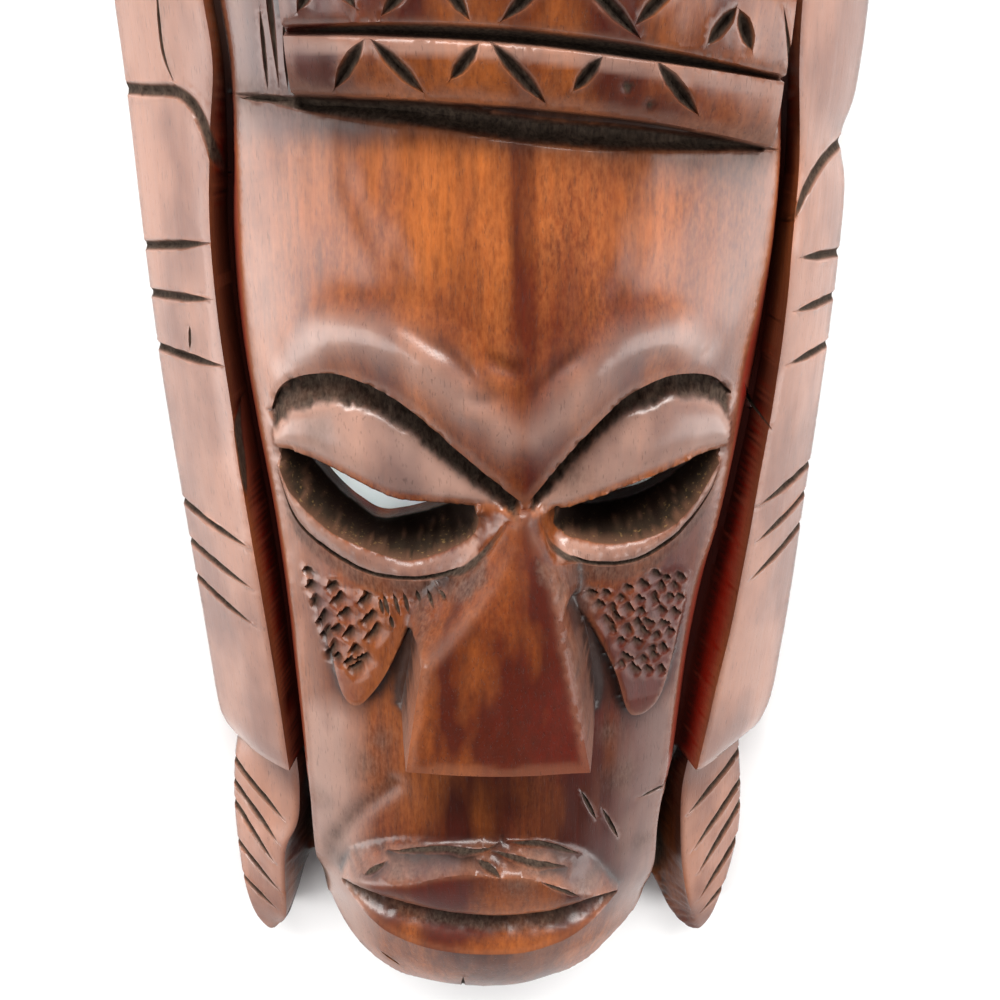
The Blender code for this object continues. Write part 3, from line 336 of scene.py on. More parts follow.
RIDGE_RISE, RIDGE_REACH, BROW_SINK = 3.2, 0.0075, 1.5
BROW_RIDGES = [[(-51, 12), (-42, 21), (-32, 23.5), (-20, 20.5), (-8, 11), (4, 0)],
               [(11, 0), (20, 11), (30, 20.5), (42, 22.5), (52, 17.5)]]

# Nose, cheeks and mouth

LEFT_NOSE_BASE = [(3, -20), (1, -27), (-10.4, -43), (-20, -54), (-22.8, -68), (-25, -79),
                  (-26.2, -87)]
LEFT_NOSE_EDGE = [(4, -20, 55), (-5.2, -30, 59), (-14, -38, 62.5), (-16.6, -52, 67),
                  (-18.8, -65, 72), (-21, -79, 78), (-22.4, -87, 80)]
RIGHT_NOSE_EDGE = [(10.2, -20, 55), (13.6, -28, 58), (16.4, -37, 62), (18, -50, 66.5),
                   (20.8, -64, 71.5), (24, -79, 78), (25.6, -87, 80)]
RIGHT_NOSE_BASE = [(11.4, -20), (13.6, -27), (17.8, -40), (25, -57), (28, -74), (28.6, -87)]
NOSE_FOOT_Y = -83.5
NOSE_TIP_Y = -80.5

LEFT_CHEEK = [(-50, -46), (-47.7, -57), (-44.6, -70), (-42.2, -78.6), (-39, -82), (-35, -80.6),
              (-28.4, -71.4), (-22, -57), (-19.4, -50), (-30, -49), (-41, -47.4)]
RIGHT_CHEEK = [(21, -47), (26.8, -58.4), (32.6, -71), (36.6, -83.4), (40.4, -86), (45.2, -84),
               (48.6, -77), (51.6, -62), (53.6, -44), (46, -41), (32, -45)]
CHEEK_TOP_Y, CHEEK_TIP_Y = -46.0, -80.0

LIP_TOP = [(-46.4, -144), (-41.5, -133.4), (-27, -126.2), (-12.5, -124.2), (2, -122.8),
           (16.4, -126), (27.8, -132.4), (38.4, -149)]
LIP_CREST = [(-46.4, -144, 45), (-40.5, -139.2, 52), (-31.2, -134.8, 58), (-23.5, -132.8, 60),
             (-12.9, -129, 61.5), (-6.1, -127.9, 62), (0.6, -129.4, 61.3), (7.1, -129, 61.5),
             (13.9, -131.4, 60.5), (24.9, -140, 56), (38.4, -149, 45)]
UPPER_LIP_EDGE = [(-46.4, -144, 45), (-38, -141, 53), (-27, -141.8, 57), (-12.6, -145, 58),
                  (2, -146.4, 58), (16.6, -145.4, 57), (29, -144.4, 53), (38.4, -149, 45)]
MOUTH_GAP = [(-46.4, -144, 44), (-38, -143.6, 47), (-27, -145.8, 49), (-12.6, -149, 50),
             (4, -150.2, 50), (18, -149, 50), (29, -147.4, 47), (38.4, -149, 44)]
LOWER_LIP_EDGE = [(-46.4, -144, 44), (-38, -146.6, 49), (-27, -150, 52),
                  (-12.6, -153.4, 53), (5, -154.6, 53), (19, -153, 52.5), (29, -150.6, 49.5),
                  (38.4, -149, 44)]
LOWER_LIP_FOOT = [(-46.4, -144, 45), (-37, -151, 53.5), (-27, -157, 56.5), (-12.6, -161.2, 57.5),
                  (5, -161.8, 57.5), (19, -158.6, 56.5), (29, -153.6, 53), (38.4, -149, 45)]
CHIN_TOP = [(-46.4, -144), (-37.6, -152.4), (-27.2, -158.6), (-12.6, -162.7), (5, -163.3),
            (19.2, -160.2), (29.6, -155), (38.4, -149)]

# Headdress: a raised block with straight ends and bands of notches, and a plain cap above

BLOCK_LEFT, BLOCK_RIGHT = -42.4, 62.0
BLOCK_MIDDLE, BLOCK_FALL = 5.0, 0.0036
BAND_SWELL = 0.0006
CAP_Y, CAP_CENTRE_Y, CAP_RISE, CAP_EDGE = 121.0, 112.0, 44.0, 17.0

FOREHEAD_END = [(-43.4, 71.6), (-24, 70.4), (-8, 67.6), (7, 65), (24, 63.6), (44, 63.4),
                (63, 62.4)]
BAND_LINES = [
    ([(-43.4, 72.6), (-24, 71.8), (7, 69), (35, 66.8), (63, 62.9)], 50.5),
    ([(-43.4, 74.2), (-24, 73.4), (7, 71.6), (35, 68.6), (63, 63.2)], 51.5),
    ([(-43.4, 75.2), (-24, 74.3), (7, 72.4), (35, 69.3), (63, 64)], 61),
    ([(-43.4, 85.8), (-18, 84.8), (7, 83.4), (34, 80.6), (63, 77)], 65),
    ([(-43.4, 87), (-18, 86.6), (7, 85.2), (34, 82), (63, 77.6)], 61),
    ([(-43.4, 88), (-18, 87.9), (7, 86.7), (34, 83.4), (63, 78.3)], 66),
    ([(-43.4, 103), (-18, 102.6), (7, 101.4), (34, 98), (63, 93)], 68.5),
    ([(-43.4, 104), (-18, 103.8), (7, 102.8), (34, 99.4), (63, 94.2)], 64),
    ([(-43.4, 105), (-18, 105), (7, 104.2), (34, 100.8), (63, 95.4)], 67.5),
    ([(-43.4, 118), (-18, 118), (7, 118), (34, 116.5), (63, 113)], 66.5),
    ([(-43.4, 119.4), (-18, 119.4), (7, 119.4), (34, 119), (63, 118)], 61),
]

# Straight cuts, from x, y to x, y: stripes of the sides, notches of the bands and thin lines

STRIPES = [(-96, 37.6, -67.6, 41.6), (-96, 25.7, -68.8, 27.9), (-96, 11.9, -67.2, 11.2),
           (-96, -31.5, -65.8, -39.4), (-96, -43.4, -66.6, -52.3), (-96, -54.3, -67.6, -64.5),
           (96, 36.2, 75, 37.8), (96, 25.5, 75.4, 24.6), (96, 13, 75.4, 11.1),
           (96, -20, 71.2, -27.1), (96, -27.8, 71.8, -38.4), (96, -36.8, 71.2, -50.2),
           (-89.6, -120.1, -67, -142.5), (-90.8, -128.1, -69.7, -151.3),
           (-92, -135.4, -71.7, -159.4), (-93.2, -151.5, -70.6, -170.7),
           (-91, -167.9, -73.3, -180), (85.5, -116.2, 61.7, -139.2),
           (87.9, -125.1, 64.7, -154.2), (88, -133.1, 67.4, -164.5),
           (88.6, -147.4, 68.9, -176), (86.6, -168.4, 70.1, -184.5)]
NOTCHES = [(-32.4, 75.9, -25.3, 84.8), (-13.6, 75, -23.7, 84.8), (-8.1, 77.4, -2.2, 84),
           (11.4, 73.1, 0, 84.4), (16.8, 75.3, 22.4, 81.6), (43.5, 70.8, 33.6, 80.8),
           (-21.4, 89, -12.4, 98), (-3.9, 88.1, -11.2, 98.2), (2.2, 87.9, 13.6, 97.6),
           (29.7, 85.1, 15.4, 97.6), (28.6, 87.4, 37.4, 96), (43.7, 83.8, 49, 90.8),
           (53.5, 82.9, 49.6, 90.4), (-38.6, 90, -33, 98.4), (-26.4, 90.4, -32, 98.6),
           (-36, 106, -28, 115.6), (-18.6, 106.4, -27, 115.8), (-12, 106.2, -4, 115.4),
           (5.6, 105.8, -3, 115.6), (12.6, 104.6, 20, 113.6), (29, 102.6, 21, 113.6),
           (36, 101.8, 43, 111.4), (52, 98.6, 44, 111)]
LINES = [(-56, 73.9, -43, 73.8), (-47.6, 118, -46.6, 76.4)]


def rails_up():
    """The rails that run up the mask, from its left edge to its right one."""
    joined = [(LEFT_SIDE[4:], LEFT_FLAP[:7]), (LEFT_CREST, LEFT_FLAP_CREST),
              (LEFT_FOOT, LEFT_FLAP_FOOT), (LEFT_CHANNEL, LEFT_FLAP_CHANNEL),
              (LEFT_FACE_EDGE,), (MIDDLE,), (RIGHT_FACE_EDGE,),
              (RIGHT_CHANNEL, RIGHT_FLAP_CHANNEL), (RIGHT_FOOT, RIGHT_FLAP_FOOT),
              (RIGHT_CREST, RIGHT_FLAP_CREST), (RIGHT_SIDE[:14], RIGHT_FLAP[4:])]
    rails = []
    for pieces in joined:
        rail = np.vstack([curve(drawn(piece)) for piece in pieces])
        rails.append(rail[np.argsort(rail[:, UP], kind="stable")])
    return rails


RAILS = rails_up()
OUTLINE = [curve(drawn(side))[:, :2] for side in (LEFT_SIDE, LEFT_FLAP, CHIN, RIGHT_FLAP,
                                                  RIGHT_SIDE)]


def ground(at):
    """The sides and the face before its features are carved, and the cap above them."""
    eases = (0.3, 0.0, 0.0, 0.5, 0.95, -0.95, -0.5, 0.0, 0.0, -0.3)
    face = loft(at, UP, RAILS, [(ease, 0.0) for ease in eases])
    reach = drawn([(91, 200 - CAP_CENTRE_Y)])[0]
    middle = drawn([(0, CAP_CENTRE_Y)])[0]
    rest = np.clip(1.0 - (((at - middle) / reach) ** 2).sum(axis=1), 0.0, 1.0)
    cap = lift(CAP_EDGE) + lift(CAP_RISE) * rest ** 0.9
    over = ramp(at[:, UP], CAP_Y * SCALE[1], CAP_Y * SCALE[1] + CARVED_EDGE)
    return face + (cap - face) * over


def browed(at):
    """The ground with the two swollen brow ridges on it."""
    height = ground(at)
    for ridge in BROW_RIDGES:
        gap, share = nearest(curve(drawn(ridge), 0.004), at)
        swell = np.sin(np.pi * (0.12 + 0.76 * share))
        height += lift(RIDGE_RISE) * np.exp(-(gap / RIDGE_REACH) ** 2) * swell
    return height


def lowered(line, by):
    """A line moved down the face, towards the chin."""
    return line - np.array((0.0, by, 0.0))[:line.shape[1]]


def clipped(line, start, end):
    """The part of a line between two places across the mask."""
    return line[(line[:, ACROSS] > start) & (line[:, ACROSS] < end)]


def make_eye(brow, lid_top, lid_edge, hole, socket, rim):
    """The curves of one eye in metres, with its socket and its opening as closed loops."""
    eye = {"brow": laid(curve(drawn(brow)), browed), "lid_top": curve(drawn(lid_top)),
           "lid_edge": curve(drawn(lid_edge)), "hole": curve(drawn(hole)),
           "socket": curve(drawn(socket)), "rim": laid(curve(drawn(rim)), browed)}
    eye["brow_foot"] = lowered(eye["brow"], CARVED_EDGE)
    eye["brow_foot"][:, 2] = np.interp(eye["brow_foot"][:, 0], eye["lid_top"][:, 0],
                                       eye["lid_top"][:, 2]) - lift(BROW_SINK)
    for name, lower in (("pocket", eye["socket"]), ("opening", eye["hole"])):
        above = clipped(eye["lid_edge"], lower[:, 0].min(), lower[:, 0].max())
        eye[name] = np.vstack([lower, above[::-1]])
    return eye


EYES = [make_eye(LEFT_BROW, LEFT_LID_TOP, LEFT_LID_EDGE, LEFT_HOLE, LEFT_SOCKET, LEFT_RIM),
        make_eye(RIGHT_BROW, RIGHT_LID_TOP, RIGHT_LID_EDGE, RIGHT_HOLE, RIGHT_SOCKET, RIGHT_RIM)]


def carve_eye(height, at, eye):
    """Sink the lid under its brow, the socket under the lid and the rim below it."""
    lid_rails = [eye["lid_edge"], eye["lid_top"], eye["brow_foot"], eye["brow"]]
    lid = loft(at, ACROSS, lid_rails, [(0.0, 0.0022), (0.0, 0.0), (0.0, 0.0)])
    height = np.where(between(at, ACROSS, lid_rails[0], lid_rails[-1]), lid, height)
    rim = loft(at, ACROSS, [eye["rim"], eye["socket"]], [(0.0, 0.0008)])
    height = np.where(between(at, ACROSS, eye["rim"], eye["socket"]), rim, height)
    within = inside(eye["pocket"], at)
    edge, to_edge = on_rail(eye["socket"], ACROSS, at[:, 0])[1], nearest(eye["socket"], at)[0]
    floor, to_hole = on_rail(eye["hole"], ACROSS, at[:, 0])[1], nearest(eye["hole"], at)[0]
    sunk = (to_edge / np.maximum(to_edge + to_hole, 1e-6)) ** 0.8
    slope = edge + (floor - edge) * sunk
    lid_height = on_rail(eye["lid_edge"], ACROSS, at[:, 0])[1]
    cliff = ramp(nearest(eye["lid_edge"], at)[0], 0.0, CARVED_EDGE)
    return np.where(within, lid_height + (slope - lid_height) * cliff, height)


def carve_cheek(height, at, cheek):
    """Raise a cheek more and more down to its tip."""
    step = ramp(depth_inside(cheek, at), 0.0, CARVED_EDGE)
    return height + CHEEK_RISE * step * ramp(at[:, UP], CHEEK_TOP_Y * SCALE[1],
                                             CHEEK_TIP_Y * SCALE[1])


CHEEKS = [curve(drawn(line), closed=True) for line in (LEFT_CHEEK, RIGHT_CHEEK)]


def noseless(at):
    """The face with its brows, eyes and cheeks."""
    height = browed(at)
    for eye in EYES:
        height = carve_eye(height, at, eye)
    for cheek in CHEEKS:
        height = carve_cheek(height, at, cheek)
    return height


NOSE = [curve(drawn(line))[::-1] for line in (LEFT_NOSE_BASE, LEFT_NOSE_EDGE, RIGHT_NOSE_EDGE,
                                               RIGHT_NOSE_BASE)]
NOSE[0], NOSE[3] = evened(laid(NOSE[0], noseless), 0.008), evened(laid(NOSE[3], noseless), 0.008)


def carve_nose(height, at):
    """Stand the wedge of the nose on the face, cut off straight below."""
    nose = loft(at, UP, NOSE, [(0.2, 0.0), (0.0, 0.0015), (-0.2, 0.0)])
    shown = ramp(at[:, UP], NOSE_FOOT_Y * SCALE[1], NOSE_TIP_Y * SCALE[1])
    raised = np.maximum(height, height + (nose - height) * shown)
    return np.where(between(at, UP, NOSE[0], NOSE[3]), raised, height)


def face(at):
    """The face with its nose, before the mouth and the headdress."""
    return carve_nose(noseless(at), at)


MOUTH = [laid(curve(drawn(CHIN_TOP)), face)]
MOUTH += [curve(drawn(line)) for line in (LOWER_LIP_FOOT, LOWER_LIP_EDGE, MOUTH_GAP,
                                          UPPER_LIP_EDGE, LIP_CREST)]
MOUTH += [laid(curve(drawn(LIP_TOP)), face)]


def band_line(points, level):
    """A line across the headdress block, falling away to both sides of its middle."""
    line = curve(drawn(points))
    aside = line[:, 0] / SCALE[0] - BLOCK_MIDDLE
    return np.column_stack([line, lift(level - BLOCK_FALL * aside ** 2)])


BLOCK = [laid(curve(drawn(FOREHEAD_END)), face)]
BLOCK += [band_line(points, level) for points, level in BAND_LINES]


def carve_mouth(height, at):
    """Set both lips and the gap between them on the face."""
    lips = loft(at, ACROSS, MOUTH, [(0.0, 0.0), (0.0, 0.0008), (0.0, 0.0), (0.0, 0.0),
                                    (0.0, 0.0006), (0.3, 0.0)])
    return np.where(between(at, ACROSS, MOUTH[0], MOUTH[-1]), lips, height)


def carve_block(height, at):
    """Stand the banded block of the headdress on the forehead's upper end."""
    swells = [(0.0, 0.0)] * (len(BLOCK) - 1)
    swells[3], swells[6], swells[9] = (0.2, BAND_SWELL), (0.0, BAND_SWELL), (0.0, BAND_SWELL)
    block = loft(at, ACROSS, BLOCK, swells)
    left, right = BLOCK_LEFT * SCALE[0], BLOCK_RIGHT * SCALE[0]
    step = ramp(at[:, 0], left - CARVED_EDGE, left) * ramp(at[:, 0], right + CARVED_EDGE, right)
    return np.where(between(at, ACROSS, BLOCK[0], BLOCK[-1]), height + (block - height) * step,
                    height)


def cut_lines():
    """Every straight cut, as its two ends, half its width and its depth, in metres."""
    kinds = ((STRIPES, STRIPE_WIDTH, STRIPE_DEPTH), (NOTCHES, NOTCH_WIDTH, NOTCH_DEPTH),
             (LINES, LINE_WIDTH, LINE_DEPTH))
    return [(straight(line), width / 2, depth) for lines, width, depth in kinds for line in lines]


SIDES = np.vstack([side[:-1] for side in OUTLINE])


def relief(at):
    """Height of the carved front at each place, before the fine knife work."""
    return carve_block(carve_mouth(face(at), at), at)


def groove_lines(line, half_width):
    """The middle, the floor's sides and the lips of a groove, which meet at its ends."""
    track = thinned(line, GROOVE_STEP)
    ahead = np.gradient(track, axis=0)
    aside = np.stack([-ahead[:, 1], ahead[:, 0]], axis=1)
    aside *= half_width / np.linalg.norm(aside, axis=1)[:, None]
    run = np.linspace(0.0, 1.0, len(track))
    aside *= groove_taper(track, run)[:, None]
    return [track + share * aside for share in GROOVE_LINES]


def groove_taper(line, share):
    """How wide a groove is along its length: it runs out to a point unless it leaves the mask."""
    closed_in = depth_inside(SIDES, line[[0, -1], :2]) > OPEN_END
    ahead = share if closed_in[0] else np.full_like(share, 0.5)
    behind = 1.0 - share if closed_in[1] else np.full_like(share, 0.5)
    return np.clip(np.minimum(ahead, behind) / GROOVE_END, 0.02, 1.0) ** 0.75


def hollow_edge():
    """The edge of the hollow on the back: an oval, narrower below, with a straight top."""
    power = HOLLOW_POWER
    lip_share = (1.0 - (HANGING_LIP_WIDTH / HOLLOW_WIDTH) ** power) ** (1 / power)
    turn = np.linspace(0.0, 2 * np.pi, 64, endpoint=False)
    across = np.abs(np.cos(turn)) ** (2 / power) * np.sign(np.cos(turn))
    up = np.abs(np.sin(turn)) ** (2 / power) * np.sign(np.sin(turn))
    keep = up < lip_share - 0.004
    across = across * (1.0 + HOLLOW_TAPER * np.minimum(up, 0.0))
    oval = np.stack([across * HOLLOW_WIDTH / 2, up * HOLLOW_LENGTH / 2 + HOLLOW_CENTRE_Y], axis=1)
    after = int(np.argmin(keep))
    lip_y = lip_share * HOLLOW_LENGTH / 2 + HOLLOW_CENTRE_Y
    lip = np.array([(HANGING_LIP_WIDTH / 2, lip_y), (-HANGING_LIP_WIDTH / 2, lip_y)])
    return np.vstack([oval[:after][keep[:after]], lip, oval[after:][keep[after:]]]), lip_y


HOLLOW, LIP_Y = hollow_edge()


def ceiling(at):
    """Height of the hollow over the back, with the least wall left under the carving."""
    depth = np.maximum(depth_inside(HOLLOW, at), 0.0)
    spread = np.minimum(depth / (HOLLOW_WIDTH / 3), 1.0)
    rise = HOLLOW_DEPTH * np.sqrt(1.0 - (1.0 - spread) ** 2)
    near_lip = ramp(np.abs(at[:, 0]), HANGING_LIP_WIDTH / 2 + 0.008, HANGING_LIP_WIDTH / 2)
    lip = HANGING_LIP_HEIGHT * near_lip * ramp(LIP_Y - at[:, 1], 0.0, LIP_SLOPE * 0.9)
    turns = np.linspace(0.0, 2 * np.pi, 8, endpoint=False)
    steps = np.vstack([(0.0, 0.0), np.stack([np.cos(turns), np.sin(turns)], axis=1) * 0.004])
    thinnest = np.min([relief(at + step) for step in steps], axis=0)
    height = np.minimum(np.maximum(rise, lip), np.maximum(thinnest - WALL_THICKNESS, 0.002))
    return np.where(depth > 1e-5, height, 0.0)


def offset(loop, by):
    """A closed polygon moved inwards, its points listed counter-clockwise."""
    ahead = np.roll(loop, -1, axis=0) - np.roll(loop, 1, axis=0)
    normal = np.stack([-ahead[:, 1], ahead[:, 0]], axis=1)
    return loop + by * normal / np.linalg.norm(normal, axis=1)[:, None]


def front_lines():
    """Every open line that the facets of the front follow."""
    lines = RAILS[1:-1] + MOUTH + BLOCK + NOSE
    for eye in EYES:
        lines += [eye[name] for name in ("brow", "brow_foot", "lid_top", "lid_edge", "socket",
                                         "rim")]
    for ridge in BROW_RIDGES:
        lines.append(curve(drawn(ridge)))
    rows = [((-91, CAP_Y), (91, CAP_Y), CARVED_EDGE), ((-83, -114.9), (-57, -114.9), 0.001),
            ((56, -114.9), (80, -114.9), 0.001), ((-26, NOSE_FOOT_Y), (28, NOSE_FOOT_Y), 0.003)]
    for start, end, step in rows:
        row = drawn([start, end])
        lines += [row, row + (0.0, step)]
    for x, step in ((BLOCK_LEFT, -CARVED_EDGE), (BLOCK_RIGHT, CARVED_EDGE)):
        column = drawn([(x, 62), (x, CAP_Y)])
        lines += [column, column + (step, 0.0)]
    lines = [thinned(line, LINE_FACET) for line in lines]
    for line, half_width, _, _ in GROOVES:
        lines += groove_lines(line, half_width)
    return lines


def turns_left(loop):
    """Whether a closed polygon runs counter-clockwise."""
    after = np.roll(loop, -1, axis=0)
    return (loop[:, 0] * after[:, 1] - loop[:, 1] * after[:, 0]).sum() > 0.0


def triangulate(loops, lines, loose, weld):
    """Facets inside the first loop and outside the others, along lines and loose points."""
    points, edges, regions = [], [], []
    for loop in loops:
        region = list(range(len(points), len(points) + len(loop)))
        regions.append(region if turns_left(loop) else region[::-1])
        points += [Vector(place) for place in loop]
    for line in lines:
        first = len(points)
        points += [Vector(place) for place in line]
        edges += [(k, k + 1) for k in range(first, len(points) - 1)]
    points += [Vector(place) for place in loose]
    places, _, faces, sources, _, owners = delaunay_2d_cdt(points, edges, regions, 0, weld)
    kept = [tuple(face) for face, owner in zip(faces, owners) if owner == [0]]
    return np.array([tuple(place) for place in places]), kept, sources


def open_loops(faces):
    """The open borders of a sheet of facets, each in the order of its facets, largest first."""
    sides = {(face[k], face[(k + 1) % 3]) for face in faces for k in range(3)}
    following = {a: b for a, b in sides if (b, a) not in sides}
    loops = []
    while following:
        start, corner = following.popitem()
        loop = [start]
        while corner != start:
            loop.append(corner)
            corner = following.pop(corner)
        loops.append(loop)
    return sorted(loops, key=len, reverse=True)


def closed(loop):
    """A loop as a line that ends where it starts."""
    return np.vstack([loop, loop[:1]])


def divided(line, longest):
    """A polyline with further points, so that no step of it is longer."""
    places = []
    for start, end in zip(line, line[1:]):
        count = max(1, int(np.ceil(np.linalg.norm(end - start) / longest)))
        places += [start + (end - start) * k / count for k in range(count)]
    return np.array(places + [line[-1]])


def clear_of(line, loops, gap):
    """The stretches of a line that stay outside closed polygons by a gap."""
    depths = np.max([depth_inside(loop, line) for loop in loops], axis=0)
    stretches = [[]]
    for place, depth in zip(line, depths):
        if depth < -gap:
            stretches[-1].append(place)
        elif stretches[-1]:
            stretches.append([])
    return [np.array(stretch) for stretch in stretches if len(stretch) > 1]


def staggered(facet, lines, keep):
    """A staggered grid of places, clear of the lines by most of a facet."""
    columns = np.arange(-0.5 * MASK_WIDTH, 0.5 * MASK_WIDTH, facet)
    rows = np.arange(-0.5 * MASK_HEIGHT, 0.5 * MASK_HEIGHT, facet * 0.866)
    grid = np.array([(x + 0.5 * facet * (k % 2), y) for k, y in enumerate(rows) for x in columns])
    grid = grid[keep(grid)]
    used = np.vstack(lines)
    tree = KDTree(len(used))
    for index, place in enumerate(used):
        tree.insert((*place, 0.0), index)
    tree.balance()
    gaps = np.array([tree.find((*place, 0.0))[2] for place in grid])
    return grid[gaps > 0.6 * facet]


# Fine knife work, in millimetres of the drawing: gouges from their lower to their upper end,
# chisel strokes, cracks, nicks and soft creases

GOUGES = [(-48.9, -50.9, -47.3, -47.1), (-48.2, -56, -46, -51.2), (-46.9, -61.5, -43.5, -54.9),
          (-45.9, -65.4, -42.5, -59.5), (-44.9, -71.8, -41, -63.1), (-42.5, -70.6, -40.5, -67.7),
          (-42.3, -53.9, -38.8, -49.6), (-40.8, -57.5, -37.1, -53.9), (-42.6, -62.3, -40, -59),
          (-39.2, -63.3, -36.2, -58.7), (-37.4, -67.4, -35.2, -63.7), (-39.7, -71.3, -36.7, -68.1),
          (-35, -53.1, -31.2, -48.8), (-34.3, -58.4, -30, -53.6), (-33.1, -62.9, -28.7, -57),
          (-37, -70.2, -32.2, -66.5), (-39, -72.9, -34.3, -69.9), (-43.8, -50.1, -40.4, -46.9),
          (-49.3, -45.9, -47.9, -43.7)]
HATCHES = [(-28.9, -48.3, -27.5, -53.8), (-26.2, -47.6, -24.5, -53.7),
           (-23.5, -46.8, -22.1, -52.7), (-19.9, -45.8, -19.1, -49.3),
           (-17, -45.3, -15.2, -48.3), (-14.1, -43.8, -11.8, -45.2),
           (-27.2, -53.5, -26.5, -57.8), (-29.9, -49.3, -29.1, -53.8),
           (25.2, -110.5, 30.1, -121.7), (31.7, -118.1, 37.3, -130.9),
           (43.7, -118.1, 51.6, -116.4), (-4.6, -126.3, 2.5, -129.6),
           (13.5, -131.6, 25.1, -140.9), (-9.6, -183.1, -10.3, -201.5),
           (-36.7, -179.3, -29.7, -185.9)]
CRACKS = [[(-66.1, 1), (-66.3, -6.3), (-66, -14.6), (-65.5, -25.6)], [(-77, 20.3), (-78.1, 13.6)],
          [(64.6, 6.4), (69.5, -2), (72.5, -5.8)], [(-75.6, 98), (-76, 84.3), (-73.5, 76.8)],
          [(59.1, 91.4), (62.2, 81.3), (65.5, 67.2)], [(-44.1, 90), (-44.6, 76)],
          [(-49.4, 92), (-49.4, 75.6)]]
CREASES = [[(-24, 27), (-18.3, 25.3), (-13.1, 22.1), (-9.3, 20), (-4.1, 14.8), (3.5, 8.6)],
           [(-3, 20.4), (3.5, 17.2), (9.1, 15.3)], [(23.7, 23), (14.1, 15.8), (8.9, 8.7)],
           [(-7.9, 11.8), (-4.1, 9.9), (2, 8.9)]]
# The fold beside the mouth, pressed in, with a painted shade along it
FOLD = [(-28.4, -108), (-39.1, -119.9), (-47, -133), (-51.4, -143.8)]
WRINKLES = [[(-30.8, -129.4), (-14.6, -126), (-1, -125), (2, -124)],
            [(-37.7, -136.5), (-31.1, -131.5)], [(-1, -125.4), (9.5, -127.4), (21.6, -133)],
            [(4, -123.8), (14, -126), (26, -132)]]
RIM_CUTS = [[(-55.8, -15.4), (-51.6, -29), (-43.4, -36.6), (-32, -42), (-22.3, -42.4),
             (-15.5, -41.4), (-8.4, -38.4), (-4.4, -34.4), (-1.3, -30.8), (1.5, -26.9), (4, -23)],
            [(12.8, -25.5), (13.8, -28.3), (15.4, -31), (19.9, -34.8), (27, -37.8), (38.3, -37.8),
             (48.4, -31.8), (55.8, -22.4), (58.8, -14.8)]]
# The groove under the headdress, with a painted shade along it
FOREHEAD_CUT = [(-60.2, 75), (-51.8, 74.2), (-42.5, 72.9), (-28.8, 71.4), (-13.2, 70.4), (2, 68.4),
                (15, 66.8), (28.3, 65.8), (42, 64.8), (56.6, 63.8), (67, 62.8)]
SMEARS = [(-36.8, -103.9, 7), (-32, -94, 5), (-49.9, -139, 5), (44.5, -135.2, 4), (37, -108, 5),
          (34, -92, 5), (10, 69, 6), (-52, -120, 4), (6, -131, 6), (20, -13, 6), (-43.5, -1.5, 5),
          (-18, -50, 4), (-20, -59, 4), (-14, -44, 3), (24, -50, 4), (18, -40, 3)]
LAPPET_TOPS = [[(-90, 76.2), (-82, 75.7), (-73, 75.2), (-68, 71.4), (-65.6, 65), (-64.6, 56)],
               [(90.4, 65.2), (84.6, 62.6), (79.3, 59.4), (74.6, 53.4), (72, 46)]]
DOTS = [(28, 76.1), (33, 72.7)]
NOTCH_ROOTS = [(-57, -154), (52.6, -163)]

# Where the rims of the sockets run up to the bridge of the nose, and how evenly they do
JOINTS = [[(-3.2, -21.0), (2.4, -19.0), (5.0, -19.2), (5.6, -25), (3.4, -31), (-0.6, -38),
           (-6, -45), (-11, -51), (-16.4, -56), (-22.6, -57), (-21.4, -50), (-17, -46.4),
           (-14, -43.6), (-10, -39.6), (-6.5, -35), (-3.6, -30.6)],
          [(9.4, -19.4), (16.4, -21.2), (17.2, -28), (19.0, -31.6), (21.4, -34.4), (22.6, -40),
           (22.4, -46), (18.0, -45), (15.6, -38), (12.6, -30), (9.8, -25)]]
SPAN_ROUNDS = 300

# Half the width of the fine grooves, their depth and how rough their floors are
CUT_ROUGH = 0.25
HATCH_SIZE = (0.0007, 0.0008, 0.4)
FINE_GROOVES = [(CRACKS, (0.0005, 0.0009, 0.4)), (WRINKLES, (0.0006, 0.0007, 0.4)),
                (LAPPET_TOPS, (0.0017, 0.0018, 0.6)), (RIM_CUTS, (0.0008, 0.0011, 0.3)),
                ([FOREHEAD_CUT], (0.0026, 0.0018, 0.6))]
BAND_GROOVES = [(5, (0.0015, 0.0010, 0.5)), (8, (0.0014, 0.0010, 0.5))]

# Half the width of the gouge marks, their depth and the side that they lean to
LEFT_GOUGE = (0.0021, 0.0022, 1.0)
RIGHT_GOUGE = (0.0016, 0.0014, -1.0)
RIGHT_ROWS, RIGHT_COLUMNS, RIGHT_FOOT_Y = 9, 7, -74.5

# The way the wrinkles of the lips run, and the sizes of the lumps that the knife left
WRINKLE_TURN = np.array(((0.30, -0.954), (0.954, 0.30)))
WRINKLE_SIZE = (0.0016, 0.0080)
FLATS_DEPTH, FOLD_DEPTH, DOT_DEPTH, NOTCH_ROOT_DEPTH = 0.00018, 0.0010, 0.0009, 0.0030
CREASE_DEPTH, CREASE_RISE = 0.0008, 0.0004

# Where masks of the finish fade in, from none to full, in millimetres of the drawing
BELOW_BLOCK = (84.0, 62.0)
ABOVE_FLAPS = (-118.0, -112.0)
NOSE_SIDES_UP, NOSE_SIDES_DOWN, NOSE_FRONT_UP = (-90.0, -84.0), (-46.0, -56.0), (-86.0, -82.0)
MARGINS = ((-42.0, -55.0), (50.0, 62.0))
LOW_MARGINS = ((-34.0, -44.0), (34.0, 46.0))
LOW_MARGINS_DOWN = (-78.0, -90.0)
DULL_CHIN = (-160.0, -172.0)
